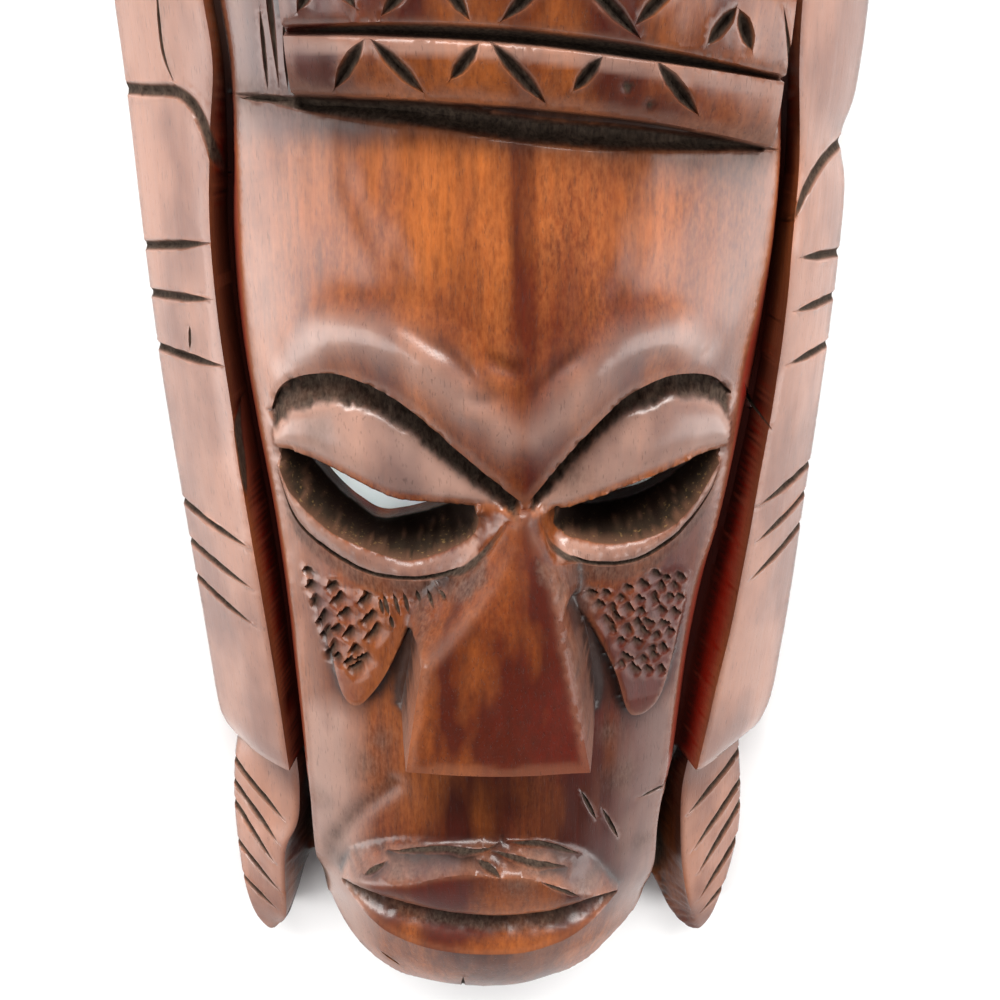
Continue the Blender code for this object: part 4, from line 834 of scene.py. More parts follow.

# How light the wood is up the middle of the mask, on its sides, and from the lower to the upper
# edge of each lip: its own tone with painted light and shade, a painted sheen on the sides and a
# painted lit lower edge on each lip
TONE_UP = [-200, -168, -150, -118, -85, -30, 5, 25, 45, 62, 68, 80, 95, 130, 200]
LIT_TONE = [0.45, 0.40, 0.20, 0.26, 0.28, 0.30, 0.30, 0.55, 0.90, 0.90, 0.35, 0.30, 0.20, 0.45, 0.50]
FLANK_SHEEN_TONE, HEM_TONE = 0.62, 0.75
UPPER_LIP_LIT_TONE, LOWER_LIP_LIT_TONE = (0.50, 0.02), (0.50, 0.05)

# How strongly each place takes the painted pale sheen and the painted shade with its dark dust,
# and how much varnish it lacks
SHEEN_WEIGHTS = {"lid": 0.9, "flank": 0.3, "ridges": 0.8, "margins": 0.45, "low margins": 0.75,
        "rim": 0.7, "band top": 0.6, "lip crest": 0.5}
SHADE_AND_DUST_WEIGHTS = {"ledge": 0.85, "nose sides": 0.9, "lip top": 0.75, "gap": 0.9, "fold": 0.9,
        "smears": 0.8, "forehead cut": 0.9}
DULL = {"furrow": 0.65, "upper lip": 0.75, "nose": 0.6, "cheeks": 0.6, "lowest band": 0.5}

# The finishes that the mesh holds as a value per vertex, among them painted light, sheen and shade
FINISHES = ("raw", "channel", "flank", "socket", "hollow", "ridge", "tone_and_light", "painted_sheen", "dust_and_shade",
            "shine")
BACK_RAW = 0.55
# How deep a hollow takes the full painted shade, and how sharp a ridge the full worn, painted
# highlight
DEEP_HOLLOW, SHARP_RIDGE = 0.0012, 0.00035


def noise(at, size, seed):
    """Smooth random values from -1 to 1, in lumps of one size or of a width and a height."""
    table = np.random.default_rng(seed).uniform(-1.0, 1.0, (256, 256))
    cell = at / size + 1000.0
    low = np.floor(cell).astype(int)
    part = cell - low
    part = part * part * (3.0 - 2.0 * part)
    x, y = low[:, 0] % 255, low[:, 1] % 255
    bottom = table[x, y] + (table[x + 1, y] - table[x, y]) * part[:, 0]
    top = table[x, y + 1] + (table[x + 1, y + 1] - table[x, y + 1]) * part[:, 0]
    return bottom + (top - bottom) * part[:, 1]


def turned(at, ends):
    """Places as a share of the way from one end of a line to the other, and metres to its left."""
    along = ends[1] - ends[0]
    length = np.linalg.norm(along)
    offset_from = at - ends[0]
    share = offset_from @ along / length ** 2
    aside = (along[0] * offset_from[:, 1] - along[1] * offset_from[:, 0]) / length
    return share, aside


def around(at, ends, reach):
    """Index of each place no further than a reach from the box round a line."""
    low, high = ends.min(axis=0) - reach, ends.max(axis=0) + reach
    return np.flatnonzero(((at > low) & (at < high)).all(axis=1))


def straight(ends):
    """A straight line of the drawing, given as x, y, x, y, in metres."""
    return drawn([ends[:2], ends[2:]])


def groove_list():
    """Every groove: its line, half its width, its depth and how rough its floor is."""
    grooves = [(ends, half_width, depth, CUT_ROUGH) for ends, half_width, depth in cut_lines()]
    grooves += [(straight(ends), *HATCH_SIZE) for ends in HATCHES]
    grooves += [(curve(drawn(line)), *size) for lines, size in FINE_GROOVES for line in lines]
    return grooves + [(BLOCK[index], *size) for index, size in BAND_GROOVES]


def cut_groove(at, height, raw, line, half_width, depth, rough):
    """Press a groove with a rough floor and tapering ends into the heights, and mark it raw."""
    near = around(at, line[:, :2], half_width * 2)
    places = at[near]
    gap, share = nearest(line, places)
    taper = groove_taper(line, share)
    across = gap / (half_width * taper)
    floor = np.clip(1.0 - across ** 1.5, 0.0, 1.0)
    lumps = rough * (0.7 * noise(places, 0.0014, 12) + 0.5 * noise(places, 0.0036, 13))
    height[near] -= floor * depth * taper * (1.0 + lumps)
    height[near] += 0.06 * depth * taper * np.exp(-((across - 1.15) / 0.2) ** 2)
    raw[near] = np.maximum(raw[near], ramp(across, 1.0, 0.7) * ramp(taper, 0.1, 0.5))


def cut_gouge(at, height, raw, ends, half_width, depth, lean):
    """Press one gouge mark, steep along the side it leans to and with a raised rim there."""
    near = around(at, ends, half_width * 2)
    share, aside = turned(at[near], ends)
    across = lean * aside / half_width
    along = 1.0 - (2.0 * share - 1.0) ** 2
    body = np.clip(along, 0.0, 1.0) ** 0.7
    scoop = np.clip(0.5 * (1.0 + across), 0.0, 1.0) * ramp(across, 1.12, 0.86)
    height[near] -= depth * body * scoop
    rim = np.exp(-((across - 1.2) / 0.22) ** 2) * body
    height[near] += 0.22 * depth * rim
    raw[near] = np.maximum(raw[near], np.clip(1.6 * body * scoop - 0.35, 0.0, 1.0))


def right_gouges():
    """Short gouges in staggered rows over the right cheek, leaning to the upper left."""
    rng = np.random.default_rng(7)
    gouges = []
    for row in range(RIGHT_ROWS):
        for column in range(RIGHT_COLUMNS):
            x = 25.0 + 4.3 * column + 2.1 * (row % 2) + rng.uniform(-0.9, 0.9)
            y = -44.0 - 3.4 * row - 0.25 * x + 10.0 + rng.uniform(-0.9, 0.9)
            turn = math.radians(rng.uniform(105.0, 150.0))
            reach = rng.uniform(1.3, 2.4)
            step = (reach * math.cos(turn), reach * math.sin(turn))
            gouges.append((x - step[0], y - step[1], x + step[0], y + step[1]))
    middles = drawn([((a + c) / 2, (b + d) / 2) for a, b, c, d in gouges])
    kept = depth_inside(CHEEKS[1], middles) > 0.0016
    kept &= middles[:, 1] > RIGHT_FOOT_Y * SCALE[1]
    return [gouge for gouge, keep in zip(gouges, kept) if keep]


def smoothed(values, pairs, rounds):
    """Values of the vertices, each mixed with its neighbours a number of times."""
    both = np.vstack([pairs, pairs[:, ::-1]])
    count = np.bincount(both[:, 0], minlength=len(values))
    for _ in range(rounds):
        total = np.bincount(both[:, 0], weights=values[both[:, 1]], minlength=len(values))
        values = 0.5 * values + 0.5 * total / np.maximum(count, 1)
    return values


def spanned(height, pairs, within):
    """Heights with an even slope spanned over the places within a loop."""
    both = np.vstack([pairs, pairs[:, ::-1]])
    both = both[within[both[:, 0]]]
    count = np.bincount(both[:, 0], minlength=len(height))[within]
    height = height.copy()
    for _ in range(SPAN_ROUNDS):
        total = np.bincount(both[:, 0], weights=height[both[:, 1]], minlength=len(height))
        height[within] = total[within] / count
    return height


def strip(at, first, last, soft):
    """One between two of the rails that run up the mask, fading out at both."""
    low, high = on_rail(first, UP, at[:, 1])[0], on_rail(last, UP, at[:, 1])[0]
    return ramp(at[:, 0] - low, 0.0, soft) * ramp(high - at[:, 0], 0.0, soft)


def strip_across(at, lower, upper, soft):
    """One between two lines that run across the mask, fading out at both and at their ends."""
    low, high = on_rail(lower, ACROSS, at[:, 0])[0], on_rail(upper, ACROSS, at[:, 0])[0]
    start, end = max(lower[0, 0], upper[0, 0]), min(lower[-1, 0], upper[-1, 0])
    ends = ramp(at[:, 0], start, start + soft) * ramp(at[:, 0], end, end - soft)
    return ramp(at[:, 1] - low, 0.0, soft) * ramp(high - at[:, 1], 0.0, soft) * ends


def share_across(at, lower, upper):
    """How far up each place lies between two lines that run across the mask, from 0 to 1."""
    low, high = on_rail(lower, ACROSS, at[:, 0])[0], on_rail(upper, ACROSS, at[:, 0])[0]
    return np.clip((at[:, 1] - low) / np.maximum(high - low, 1e-4), 0.0, 1.0)


def along(at, line, soft):
    """One on a line of the drawing, fading out to both of its sides."""
    track = curve(drawn(line), 0.002)
    near = around(at, track, 3.0 * soft)
    value = np.zeros(len(at))
    value[near] = np.exp(-(nearest(track, at[near])[0] / soft) ** 2)
    return value


def strongest(masks, weights):
    """The strongest of several masks at each place, each times its own weight."""
    return np.max([weight * masks[name] for name, weight in weights.items()], axis=0)


def zones(at):
    """Masks of the carved places: channels, flanks, lids, sockets, lips and so on."""
    up = at[:, 1] / SCALE[1]
    above_flaps = ramp(up, *ABOVE_FLAPS)
    furrow = np.maximum(strip(at, RAILS[1], RAILS[4], 0.0012),
                        strip(at, RAILS[6], RAILS[9], 0.0012)) * ramp(up, *BELOW_BLOCK)
    zone = {"furrow": furrow, "channel": furrow * above_flaps,
            "pocket": furrow * (1.0 - above_flaps),
            "flank": np.maximum(strip(at, RAILS[0], RAILS[1], 0.0016),
                                strip(at, RAILS[9], RAILS[10], 0.0016))}
    ragged = at + np.outer(noise(at, 0.0016, 33), (0.0, 0.0008))
    sides = []
    for eye in EYES:
        edge, top, rim = eye["lid_edge"], eye["lid_top"], eye["rim"]
        hem = lowered(edge, 0.001), lowered(edge, -0.0030)
        sides.append({"lid": strip_across(at, edge, top, 0.0010),
                      "hem": strip_across(at, *hem, 0.0014),
                      "shelf": strip_across(ragged, lowered(top, 0.0022), eye["brow"], 0.0010),
                      "rim": strip_across(at, rim, eye["socket"], 0.0005),
                      "ledge": strip_across(at, lowered(rim, 0.0058), rim, 0.0006),
                      "socket": ramp(depth_inside(eye["pocket"], at), -0.0004, 0.0003)})
    for name in sides[0]:
        zone[name] = np.maximum(sides[0][name], sides[1][name])
    zone["gap"] = strip_across(at, lowered(MOUTH[2], 0.0016), MOUTH[4], 0.0012)
    zone["lip top"] = strip_across(at, lowered(MOUTH[5], 0.0008), MOUTH[6], 0.0014)
    return zone


def finishes(at, zone):
    """How light the wood is with its painted light and shade, how much painted sheen and painted
    shade with dust it takes, and how shiny it is at each place, from 0 to 1.
    """
    across, up = at[:, 0] / SCALE[0], at[:, 1] / SCALE[1]
    mottled = 0.7 + 0.3 * noise(at, 0.004, 31)
    face_strip = strip(at, RAILS[4], RAILS[6], 0.002)
    nose = strip(at, NOSE[0], NOSE[3], 0.002) * ramp(up, *NOSE_FRONT_UP)
    nose_sides = np.maximum(strip(at, NOSE[0], NOSE[1], 0.0012),
                            strip(at, NOSE[2], NOSE[3], 0.0012))
    margins, low_margins = (np.maximum(*(ramp(across, *side) for side in sides)) * face_strip
                            for sides in (MARGINS, LOW_MARGINS))
    cheeks = np.maximum(*(ramp(depth_inside(cheek, at), 0.0, 0.002) for cheek in CHEEKS))
    lower_lip, upper_lip = (strip_across(at, MOUTH[k], MOUTH[k + 1], 0.0006) for k in (1, 4))
    crest = strip_across(at, MOUTH[5], lowered(MOUTH[6], 0.0016), 0.0010)
    smears = [np.exp(-(np.linalg.norm(at - drawn([(x, y)])[0], axis=1) / (size * SCALE[0])) ** 2)
              for x, y, size in SMEARS]
    place = {"lid": zone["lid"] * (1.0 - 0.85 * zone["hem"]), "flank": zone["flank"],
             "ridges": np.maximum(*(along(at, ridge, 0.005) for ridge in BROW_RIDGES)),
             "margins": margins, "low margins": low_margins * ramp(up, *LOW_MARGINS_DOWN),
             "rim": zone["rim"],
             "band top": strip_across(at, lowered(BLOCK[5], 0.0050), BLOCK[5], 0.0012),
             "lip crest": crest * ramp(noise(at, 0.007, 32), -0.6, 0.8),
             "ledge": zone["ledge"],
             "nose sides": nose_sides * ramp(up, *NOSE_SIDES_UP) * ramp(up, *NOSE_SIDES_DOWN),
             "lip top": zone["lip top"] * mottled, "gap": zone["gap"] * mottled,
             "fold": along(at, FOLD, 0.0032), "smears": np.max(smears, axis=0),
             "forehead cut": along(at, FOREHEAD_CUT, 0.0040), "furrow": zone["furrow"],
             "upper lip": upper_lip, "nose": nose, "cheeks": cheeks,
             "lowest band": strip_across(at, BLOCK[1], BLOCK[5], 0.002)}
    # Lighter sides: a painted sheen
    tone_and_light = np.maximum(np.interp(up, TONE_UP, LIT_TONE), FLANK_SHEEN_TONE * zone["flank"])
    # Darker nose front and cheeks: their own colour with painted shade
    tone_and_light *= 1.0 - 0.7 * np.maximum(nose, 0.9 * cheeks)
    tone_and_light = np.maximum(tone_and_light, HEM_TONE * zone["hem"])
    # Lips dark towards their upper edges and light at their lower ones: painted shade and painted
    # light
    foot, top = UPPER_LIP_LIT_TONE
    rise = (1.0 - share_across(at, MOUTH[4], MOUTH[5])) ** 3
    tone_and_light += upper_lip * (top + (foot - top) * rise - tone_and_light)
    foot, top = LOWER_LIP_LIT_TONE
    tone_and_light += lower_lip * (foot + (top - foot) * share_across(at, MOUTH[1], MOUTH[2]) - tone_and_light)
    # Painted shade in the mouth's gap, on the upper lip's top, along the fold and the forehead's
    # groove and on the nose's sides, with dark dust on the ledges under the eyes and in smudges
    dust_and_shade = strongest(place, SHADE_AND_DUST_WEIGHTS)
    shine = 1.0 - 0.6 * ramp(up, *DULL_CHIN)
    shine *= (1.0 - strongest(place, DULL)) * (1.0 - 0.6 * dust_and_shade)
    return {"channel": zone["channel"], "flank": zone["flank"], "socket": zone["socket"],
            "tone_and_light": tone_and_light, "painted_sheen": strongest(place, SHEEN_WEIGHTS), "dust_and_shade": dust_and_shade * mottled,
            "shine": shine}


def carve_fine(at, height, zone):
    """Add the knife work to the heights, and say how raw the wood was left at each place."""
    chopped = noise(at, 0.0016, 23) + 0.7 * noise(at, 0.0007, 24)
    furrows = noise(at, (0.0012, 0.0070), 21) + 0.7 * noise(at, (0.0008, 0.0030), 22)
    strokes = noise(at, (0.0008, 0.0050), 25)
    flats = noise(at, (0.009, 0.016), 26) + 0.6 * noise(at, (0.004, 0.008), 27)
    wrinkles = noise(at @ WRINKLE_TURN, WRINKLE_SIZE, 28)
    height += zone["socket"] * (0.00055 * furrows + 0.00030 * chopped)
    height += zone["pocket"] * 0.00045 * chopped
    height += zone["shelf"] * (0.00060 * chopped - 0.0010)
    height += zone["rim"] * 0.00022 * strokes
    height += zone["gap"] * 0.00045 * (wrinkles + chopped)
    height += zone["lip top"] * 0.00035 * (wrinkles + 0.5 * chopped)
    height += FLATS_DEPTH * flats * (1.0 - zone["socket"])
    raw = np.maximum(0.95 * zone["shelf"], 0.7 * zone["gap"] * ramp(flats, 1.2, -0.4))
    for line, half_width, depth, rough in GROOVES:
        cut_groove(at, height, raw, line, half_width, depth, rough)
    for line in CREASES:
        track = curve(drawn(line), 0.002)
        near = around(at, track, 0.008)
        gap, share = nearest(track, at[near])
        swell = np.sin(np.pi * np.clip(share, 0.0, 1.0))
        height[near] -= CREASE_DEPTH * swell * np.exp(-(gap / 0.0018) ** 2)
        height[near] += CREASE_RISE * swell * np.exp(-((gap - 0.0042) / 0.0022) ** 2)
    height -= FOLD_DEPTH * along(at, FOLD, 0.0030)
    for gouges, size in ((GOUGES, LEFT_GOUGE), (right_gouges(), RIGHT_GOUGE)):
        for ends in gouges:
            cut_gouge(at, height, raw, straight(ends), *size)
    for x, y in DOTS:
        gap = np.linalg.norm(at - drawn([(x, y)])[0], axis=1)
        height -= DOT_DEPTH * np.exp(-(gap / 0.0009) ** 2)
        raw = np.maximum(raw, ramp(gap, 0.0012, 0.0006))
    for x, y in NOTCH_ROOTS:
        gap = np.linalg.norm((at - drawn([(x, y)])[0]) / (1.0, 1.8), axis=1)
        height -= NOTCH_ROOT_DEPTH * ramp(gap, 0.0055, 0.0020)
        raw = np.maximum(raw, ramp(gap, 0.0066, 0.0040))
    return raw


GROOVES = groove_list()


def rounding(gap, radius):
    """How much lower a rounded edge is at each distance from it."""
    inward = np.clip(radius - gap, 0.0, radius)
    return radius - np.sqrt(radius ** 2 - inward ** 2)


def solid_at(outline, openings):
    """A test of whether places lie on the mask's wood, seen from the front."""
    def solid(at):
        return inside(outline, at) & ~inside(openings[0], at) & ~inside(openings[1], at)
    return solid


def make_front(outline, openings):
    """The carved front as places, heights, facets and a value per place for each finish."""
    solid = solid_at(outline, openings)

    def on_cheeks(at):
        return inside(CHEEKS[0], at) | inside(CHEEKS[1], at)

    def on_face(at):
        return solid(at) & (at[:, 1] < CAP_Y * SCALE[1]) & ~on_cheeks(at)

    def on_cap(at):
        return solid(at) & (at[:, 1] >= CAP_Y * SCALE[1])

    lines = front_lines()
    for cheek in CHEEKS:
        edge = thinned(closed(cheek), LINE_FACET)[:-1]
        lines += [closed(edge), closed(offset(edge, CARVED_EDGE))]
    for inset in EDGE_INSETS:
        lines.append(closed(offset(outline, inset)))
    loops = [outline] + openings
    loose = np.vstack([staggered(FACE_FACET, loops + lines, on_face),
                       staggered(CHEEK_FACET, loops + lines, on_cheeks),
                       staggered(CAP_FACET, loops + lines, on_cap)])
    front, faces, _ = triangulate(loops, lines, loose, FRONT_WELD)
    corners = np.array(faces)
    sides = np.vstack([corners[:, :2], corners[:, 1:], corners[:, ::2]])
    pairs = np.unique(np.sort(sides, axis=1), axis=0)
    height = relief(front)
    for joint in JOINTS:
        height = spanned(height, pairs, inside(drawn(joint), front))
    height += np.clip(smoothed(height, pairs, 2) - height, -HAND_ROUNDING, HAND_ROUNDING)
    zone = zones(front)
    finish = finishes(front, zone)
    finish["raw"] = carve_fine(front, height, zone)
    gap = np.maximum(depth_inside(outline, front), 0.0)
    height = height - rounding(gap, EDGE_RADIUS)
    # Painted shade and dirt in the hollows of the carving
    finish["hollow"] = np.clip((smoothed(height, pairs, 14) - height) / DEEP_HOLLOW, 0.0, 1.0)
    # Worn edges with a painted highlight on the sharp ridges
    finish["ridge"] = np.clip((height - smoothed(height, pairs, 4)) / SHARP_RIDGE, 0.0, 1.0)
    return front, height, faces, finish


def make_mask(name, material):
    """One closed body: the carved front, the hollow back and the walls between them."""
    outline = np.vstack([thinned(side, LINE_FACET) for side in OUTLINE])[:-1]
    openings = [thinned(closed(eye["opening"]), LINE_FACET)[:-1] for eye in EYES]
    front, front_heights, front_faces, finish = make_front(outline, openings)
    borders = open_loops(front_faces)
    walls = [front[border] for border in borders]

    across_lip = np.linspace(-0.5, 0.5, 12) * HANGING_LIP_WIDTH
    lip = np.array([(x, LIP_Y - LIP_SLOPE) for x in across_lip])
    hollows = [lip]
    for line in (HOLLOW, offset(HOLLOW, 0.0008), offset(HOLLOW, 0.0025), offset(HOLLOW, 0.006)):
        hollows += clear_of(divided(closed(line), BACK_FACET), openings, 0.6 * BACK_FACET)
    loose = staggered(BACK_FACET, walls + hollows, solid_at(outline, openings))
    back, back_faces, sources = triangulate(walls, hollows, loose, BACK_WELD)
    back_heights = ceiling(back)
    chips = noise(back, (0.006, 0.012), 31) + 0.6 * noise(back, (0.003, 0.006), 32)
    back_heights += 0.0004 * chips * ramp(back_heights, 0.004, 0.010)
    on_lip = (np.abs(back[:, 1] - LIP_Y + LIP_SLOPE) < 1e-6) & (back_heights > 0.001)
    back[on_lip & (np.abs(back[:, 0]) < HANGING_LIP_WIDTH / 2 + 1e-6), 1] = LIP_Y
    below = {source: index for index, group in enumerate(sources) for source in group}

    # The front, the back and, border by border, the rings of the walls between them
    places = [np.column_stack([front, front_heights]), np.column_stack([back, back_heights])]
    faces = front_faces + [tuple(len(front) + k for k in face[::-1]) for face in back_faces]
    total = len(front) + len(back)
    first = 0
    for border in borders:
        edge = front[border]
        inward = offset(edge, 1.0) - edge
        ends = [below[first + k] for k in range(len(border))]
        rings = [border]
        for share, inset in WALL_RINGS:
            low = back_heights[ends] + (front_heights[border] - back_heights[ends]) * share
            dents = 0.5 + 0.5 * noise(np.column_stack([np.arange(len(edge)) * LINE_FACET, low]),
                                      (0.007, 0.004), 33)
            ring = edge + inward * (inset * dents)[:, None]
            places.append(np.column_stack([ring, low]))
            rings.append(list(range(total, total + len(border))))
            total += len(border)
        rings.append([len(front) + end for end in ends])
        for upper, lower in zip(rings, rings[1:]):
            for k, (a, b) in enumerate(zip(upper, upper[1:] + upper[:1])):
                c, d = lower[k], lower[(k + 1) % len(border)]
                faces += [(b, a, c), (b, c, d)]
        first += len(border)

    # Points that no facet uses are left out
    places = np.vstack(places)
    faces = np.array(faces)
    used = np.unique(faces)
    faces = np.searchsorted(used, faces)

    mesh = bpy.data.meshes.new(name)
    mesh.from_pydata(places[used].tolist(), [], faces.tolist())
    for key in FINISHES:
        full = np.zeros(len(places))
        full[:len(front)] = finish[key]
        if key == "raw":
            full[len(front):len(front) + len(back)] = BACK_RAW
        mesh.attributes.new(key, "FLOAT", "POINT").data.foreach_set("value", full[used])
    mesh.materials.append(material)
    mesh.shade_smooth()
    mesh.set_sharp_from_angle(angle=math.radians(55.0))
    mask = bpy.data.objects.new(name, mesh)
    bpy.context.scene.collection.objects.link(mask)
    return mask


# Materials


def add_node(tree, kind, **values):
    """A new node with its settings, and with inputs given by name or by number in `inputs`."""
    inputs = values.pop("inputs", {})
    node = tree.nodes.new(kind)
    for key, value in values.items():
        setattr(node, key, value)
    for key, value in inputs.items():
        if hasattr(value, "is_linked"):
            tree.links.new(value, node.inputs[key])
        else:
            node.inputs[key].default_value = value
    return node


def math_node(tree, operation, first, second=0.0, clamp=False):
    """The output of a math node."""
    return add_node(tree, "ShaderNodeMath", operation=operation, use_clamp=clamp,
                    inputs={0: first, 1: second}).outputs[0]


def mixed(tree, share, first, second):
    """The colour output of a mix of two colours."""
    return add_node(tree, "ShaderNodeMix", data_type="RGBA",
                    inputs={0: share, 6: first, 7: second}).outputs[2]


def stepped(tree, value, low, high, start=0.0, end=1.0):
    """A value taken from one range to another, kept within it."""
    return add_node(tree, "ShaderNodeMapRange",
                    inputs={0: value, 1: low, 2: high, 3: start, 4: end}).outputs[0]


def stretched_noise(tree, scale, detail=4.0, rough=0.55, shift=0.0):
    """A noise on the object's own coordinates, with its own scale along each axis."""
    place = add_node(tree, "ShaderNodeTexCoord").outputs["Object"]
    scaled = add_node(tree, "ShaderNodeMapping", inputs={"Vector": place, "Scale": scale,
                                                         "Location": (shift, shift, shift)})
    noise_node = add_node(tree, "ShaderNodeTexNoise",
                          inputs={"Vector": scaled.outputs[0], "Scale": 1.0, "Detail": detail,
                                  "Roughness": rough})
    return noise_node.outputs["Fac"]


def grain(tree, name):
    """One of the noises in the wood, from 0 to 1."""
    noise_values, limits = NOISES[name]
    return stepped(tree, stretched_noise(tree, *noise_values), *limits)


def make_grain_group():
    """The long grain that runs up the wood: broad bands, thin streaks and pores."""
    group = bpy.data.node_groups.new("Wood grain", "ShaderNodeTree")
    for name in GRAIN:
        group.interface.new_socket(name, in_out="OUTPUT", socket_type="NodeSocketFloat")
    result = group.nodes.new("NodeGroupOutput")
    for name in GRAIN:
        group.links.new(grain(group, name), result.inputs[name])
    return group


# Noises in the wood: scale along each axis, detail, roughness and shift, then what counts as
# none and as all of them
GRAIN = ("bands", "streaks", "pores")
NOISES = {
    "bands": (((55.0, 9.0, 55.0), 3.0, 0.5), (0.40, 0.60)),
    "streaks": (((620.0, 26.0, 620.0), 5.0, 0.6, 3.0), (0.34, 0.68)),
    "pores": (((2600.0, 330.0, 2600.0), 1.0, 0.4, 7.0), (0.64, 0.74)),
    "patches": (((38.0, 20.0, 38.0), 3.0, 0.55, 11.0), (0.40, 0.60)),
    "speckle": (((1100.0, 420.0, 1100.0), 2.0, 0.6, 2.0), (0.3, 0.7)),
    "gold": (((900.0, 900.0, 900.0), 2.0, 0.5, 9.0), (0.62, 0.72)),
}
SCRATCHES = ((160.0, 1500.0, 160.0), 4.0, 0.6, 5.0)

# Colours of the finish that no setting changes
STREAK = (0.030, 0.006, 0.003, 1.0)
GLINT = (0.44, 0.14, 0.035, 1.0)
HANDLED = (0.17, 0.060, 0.034, 1.0)
# Painted sheen: pale and grey reflections of the white surroundings in the colour of the lids,
# brow ridges, sides, margins, rims, the band's top and the lip's crest
PALE_SHEEN, GREY_SHEEN = (0.43, 0.27, 0.215, 1.0), (0.19, 0.125, 0.108, 1.0)
# Painted shade with dust: dark, with pale specks
DARK_SHADE_AND_DUST, PALE_DUST = (0.034, 0.018, 0.013, 1.0), (0.115, 0.075, 0.060, 1.0)
SOCKET, SOCKET_GOLD = (0.022, 0.015, 0.009, 1.0), (0.16, 0.10, 0.035, 1.0)
# Painted shade and dirt in the hollows
HOLLOW_SHADE_AND_DIRT = (0.010, 0.004, 0.0025, 1.0)
CHIPS = (0.065, 0.047, 0.034, 1.0)
# Worn edges with a painted highlight
WORN_HIGHLIT_EDGE = (0.30, 0.13, 0.075, 1.0)
PORE = (0.016, 0.006, 0.004, 1.0)
MOTTLE = (0.86, 0.86, 0.86, 1.0)

# The light bands' strength and start, the roughness of raw wood and what patches add to it
BAND_STRENGTH, BAND_START = 0.55, -0.30
RAW_ROUGHNESS, PATCH_ROUGHNESS = 0.8, 0.08
VARNISH_ROUGHNESS, VARNISH_IOR, WOOD_SPECULAR = 0.26, 1.5, 0.1
BUMP_STRENGTH, BUMP_DEPTH = 0.6, 0.00014


def make_wood(settings):
    """Varnished wood with raw, darkened knife cuts, and with painted sheen, painted shade and
    painted highlights in its colour.
    """
    material = bpy.data.materials.new("varnished wood")
    material.use_nodes = True
    tree = material.node_tree
    shader = tree.nodes["Principled BSDF"]
    masks = {name: add_node(tree, "ShaderNodeAttribute", attribute_name=name).outputs["Fac"]
             for name in FINISHES}
    group = tree.nodes.new("ShaderNodeGroup")
    group.node_tree = make_grain_group()
    bands, streaks, pores = (group.outputs[name] for name in GRAIN)
    patches, speckle, gold = (grain(tree, name) for name in ("patches", "speckle", "gold"))

    def share(*factors):
        value = factors[0]
        for factor in factors[1:]:
            value = math_node(tree, "MULTIPLY", value, factor, clamp=True)
        return value

    light = math_node(tree, "MULTIPLY_ADD", bands, BAND_STRENGTH)
    light.node.inputs[2].default_value = BAND_START
    # The wood's own tone with painted light and shade in it
    light = math_node(tree, "ADD", light, masks["tone_and_light"], clamp=True)
    sunk = stepped(tree, masks["socket"], 0.42, 0.60)
    # Sharp ridges that are not cut raw: worn edges with a painted highlight
    worn_highlit = math_node(tree, "SUBTRACT", masks["ridge"], masks["raw"], clamp=True)
    colour = mixed(tree, light, tuple(settings.deep_colour), tuple(settings.wood_colour))
    for factors, tint in (
            ((patches, 0.65), tuple(settings.red_colour)),
            ((streaks, 0.55), STREAK),
            ((speckle, light, 0.35), GLINT),
            # Paler handled sides with a painted sheen
            ((masks["flank"], 0.75), mixed(tree, patches, tuple(settings.flank_sheen_colour), HANDLED)),
            # Painted sheen
            ((masks["painted_sheen"], 0.8), mixed(tree, patches, PALE_SHEEN, GREY_SHEEN)),
            # Painted shade and dark dust
            ((masks["dust_and_shade"], 0.85), mixed(tree, speckle, DARK_SHADE_AND_DUST, PALE_DUST)),
            ((masks["channel"], 0.95), tuple(settings.channel_colour)),
            ((sunk, 0.97), mixed(tree, share(gold, 0.7), SOCKET, SOCKET_GOLD)),
            # Painted shade and dirt in the hollows
            ((masks["hollow"], 0.85), HOLLOW_SHADE_AND_DIRT),
            ((masks["raw"], 0.93), mixed(tree, speckle, tuple(settings.cut_colour), CHIPS)),
            # Worn edges with a painted highlight
            ((worn_highlit, 0.22), WORN_HIGHLIT_EDGE),
            ((pores, 0.26), PORE)):
        colour = mixed(tree, share(*factors), colour, tint)
    tree.links.new(colour, shader.inputs["Base Color"])
    matt = math_node(tree, "MAXIMUM", masks["raw"], masks["socket"])
    rough = math_node(tree, "ADD",
                      stepped(tree, matt, 0.0, 1.0, settings.roughness, RAW_ROUGHNESS),
                      share(patches, PATCH_ROUGHNESS))
    tree.links.new(rough, shader.inputs["Roughness"])
    gloss = stepped(tree, matt, 0.0, 0.6, settings.varnish, 0.0)
    gloss = math_node(tree, "MULTIPLY", gloss, masks["shine"])
    tree.links.new(gloss, shader.inputs["Coat Weight"])
    shader.inputs["Coat Roughness"].default_value = VARNISH_ROUGHNESS
    shader.inputs["Coat IOR"].default_value = VARNISH_IOR
    shader.inputs["Specular IOR Level"].default_value = WOOD_SPECULAR
    scratches = share(stretched_noise(tree, *SCRATCHES), 0.5)
    bumps = math_node(tree, "ADD", math_node(tree, "SUBTRACT", scratches, pores),
                      share(streaks, 0.6))
    bump = add_node(tree, "ShaderNodeBump", inputs={"Strength": BUMP_STRENGTH,
                                                    "Distance": BUMP_DEPTH, "Height": bumps})
    tree.links.new(bump.outputs["Normal"], shader.inputs["Normal"])
    return material


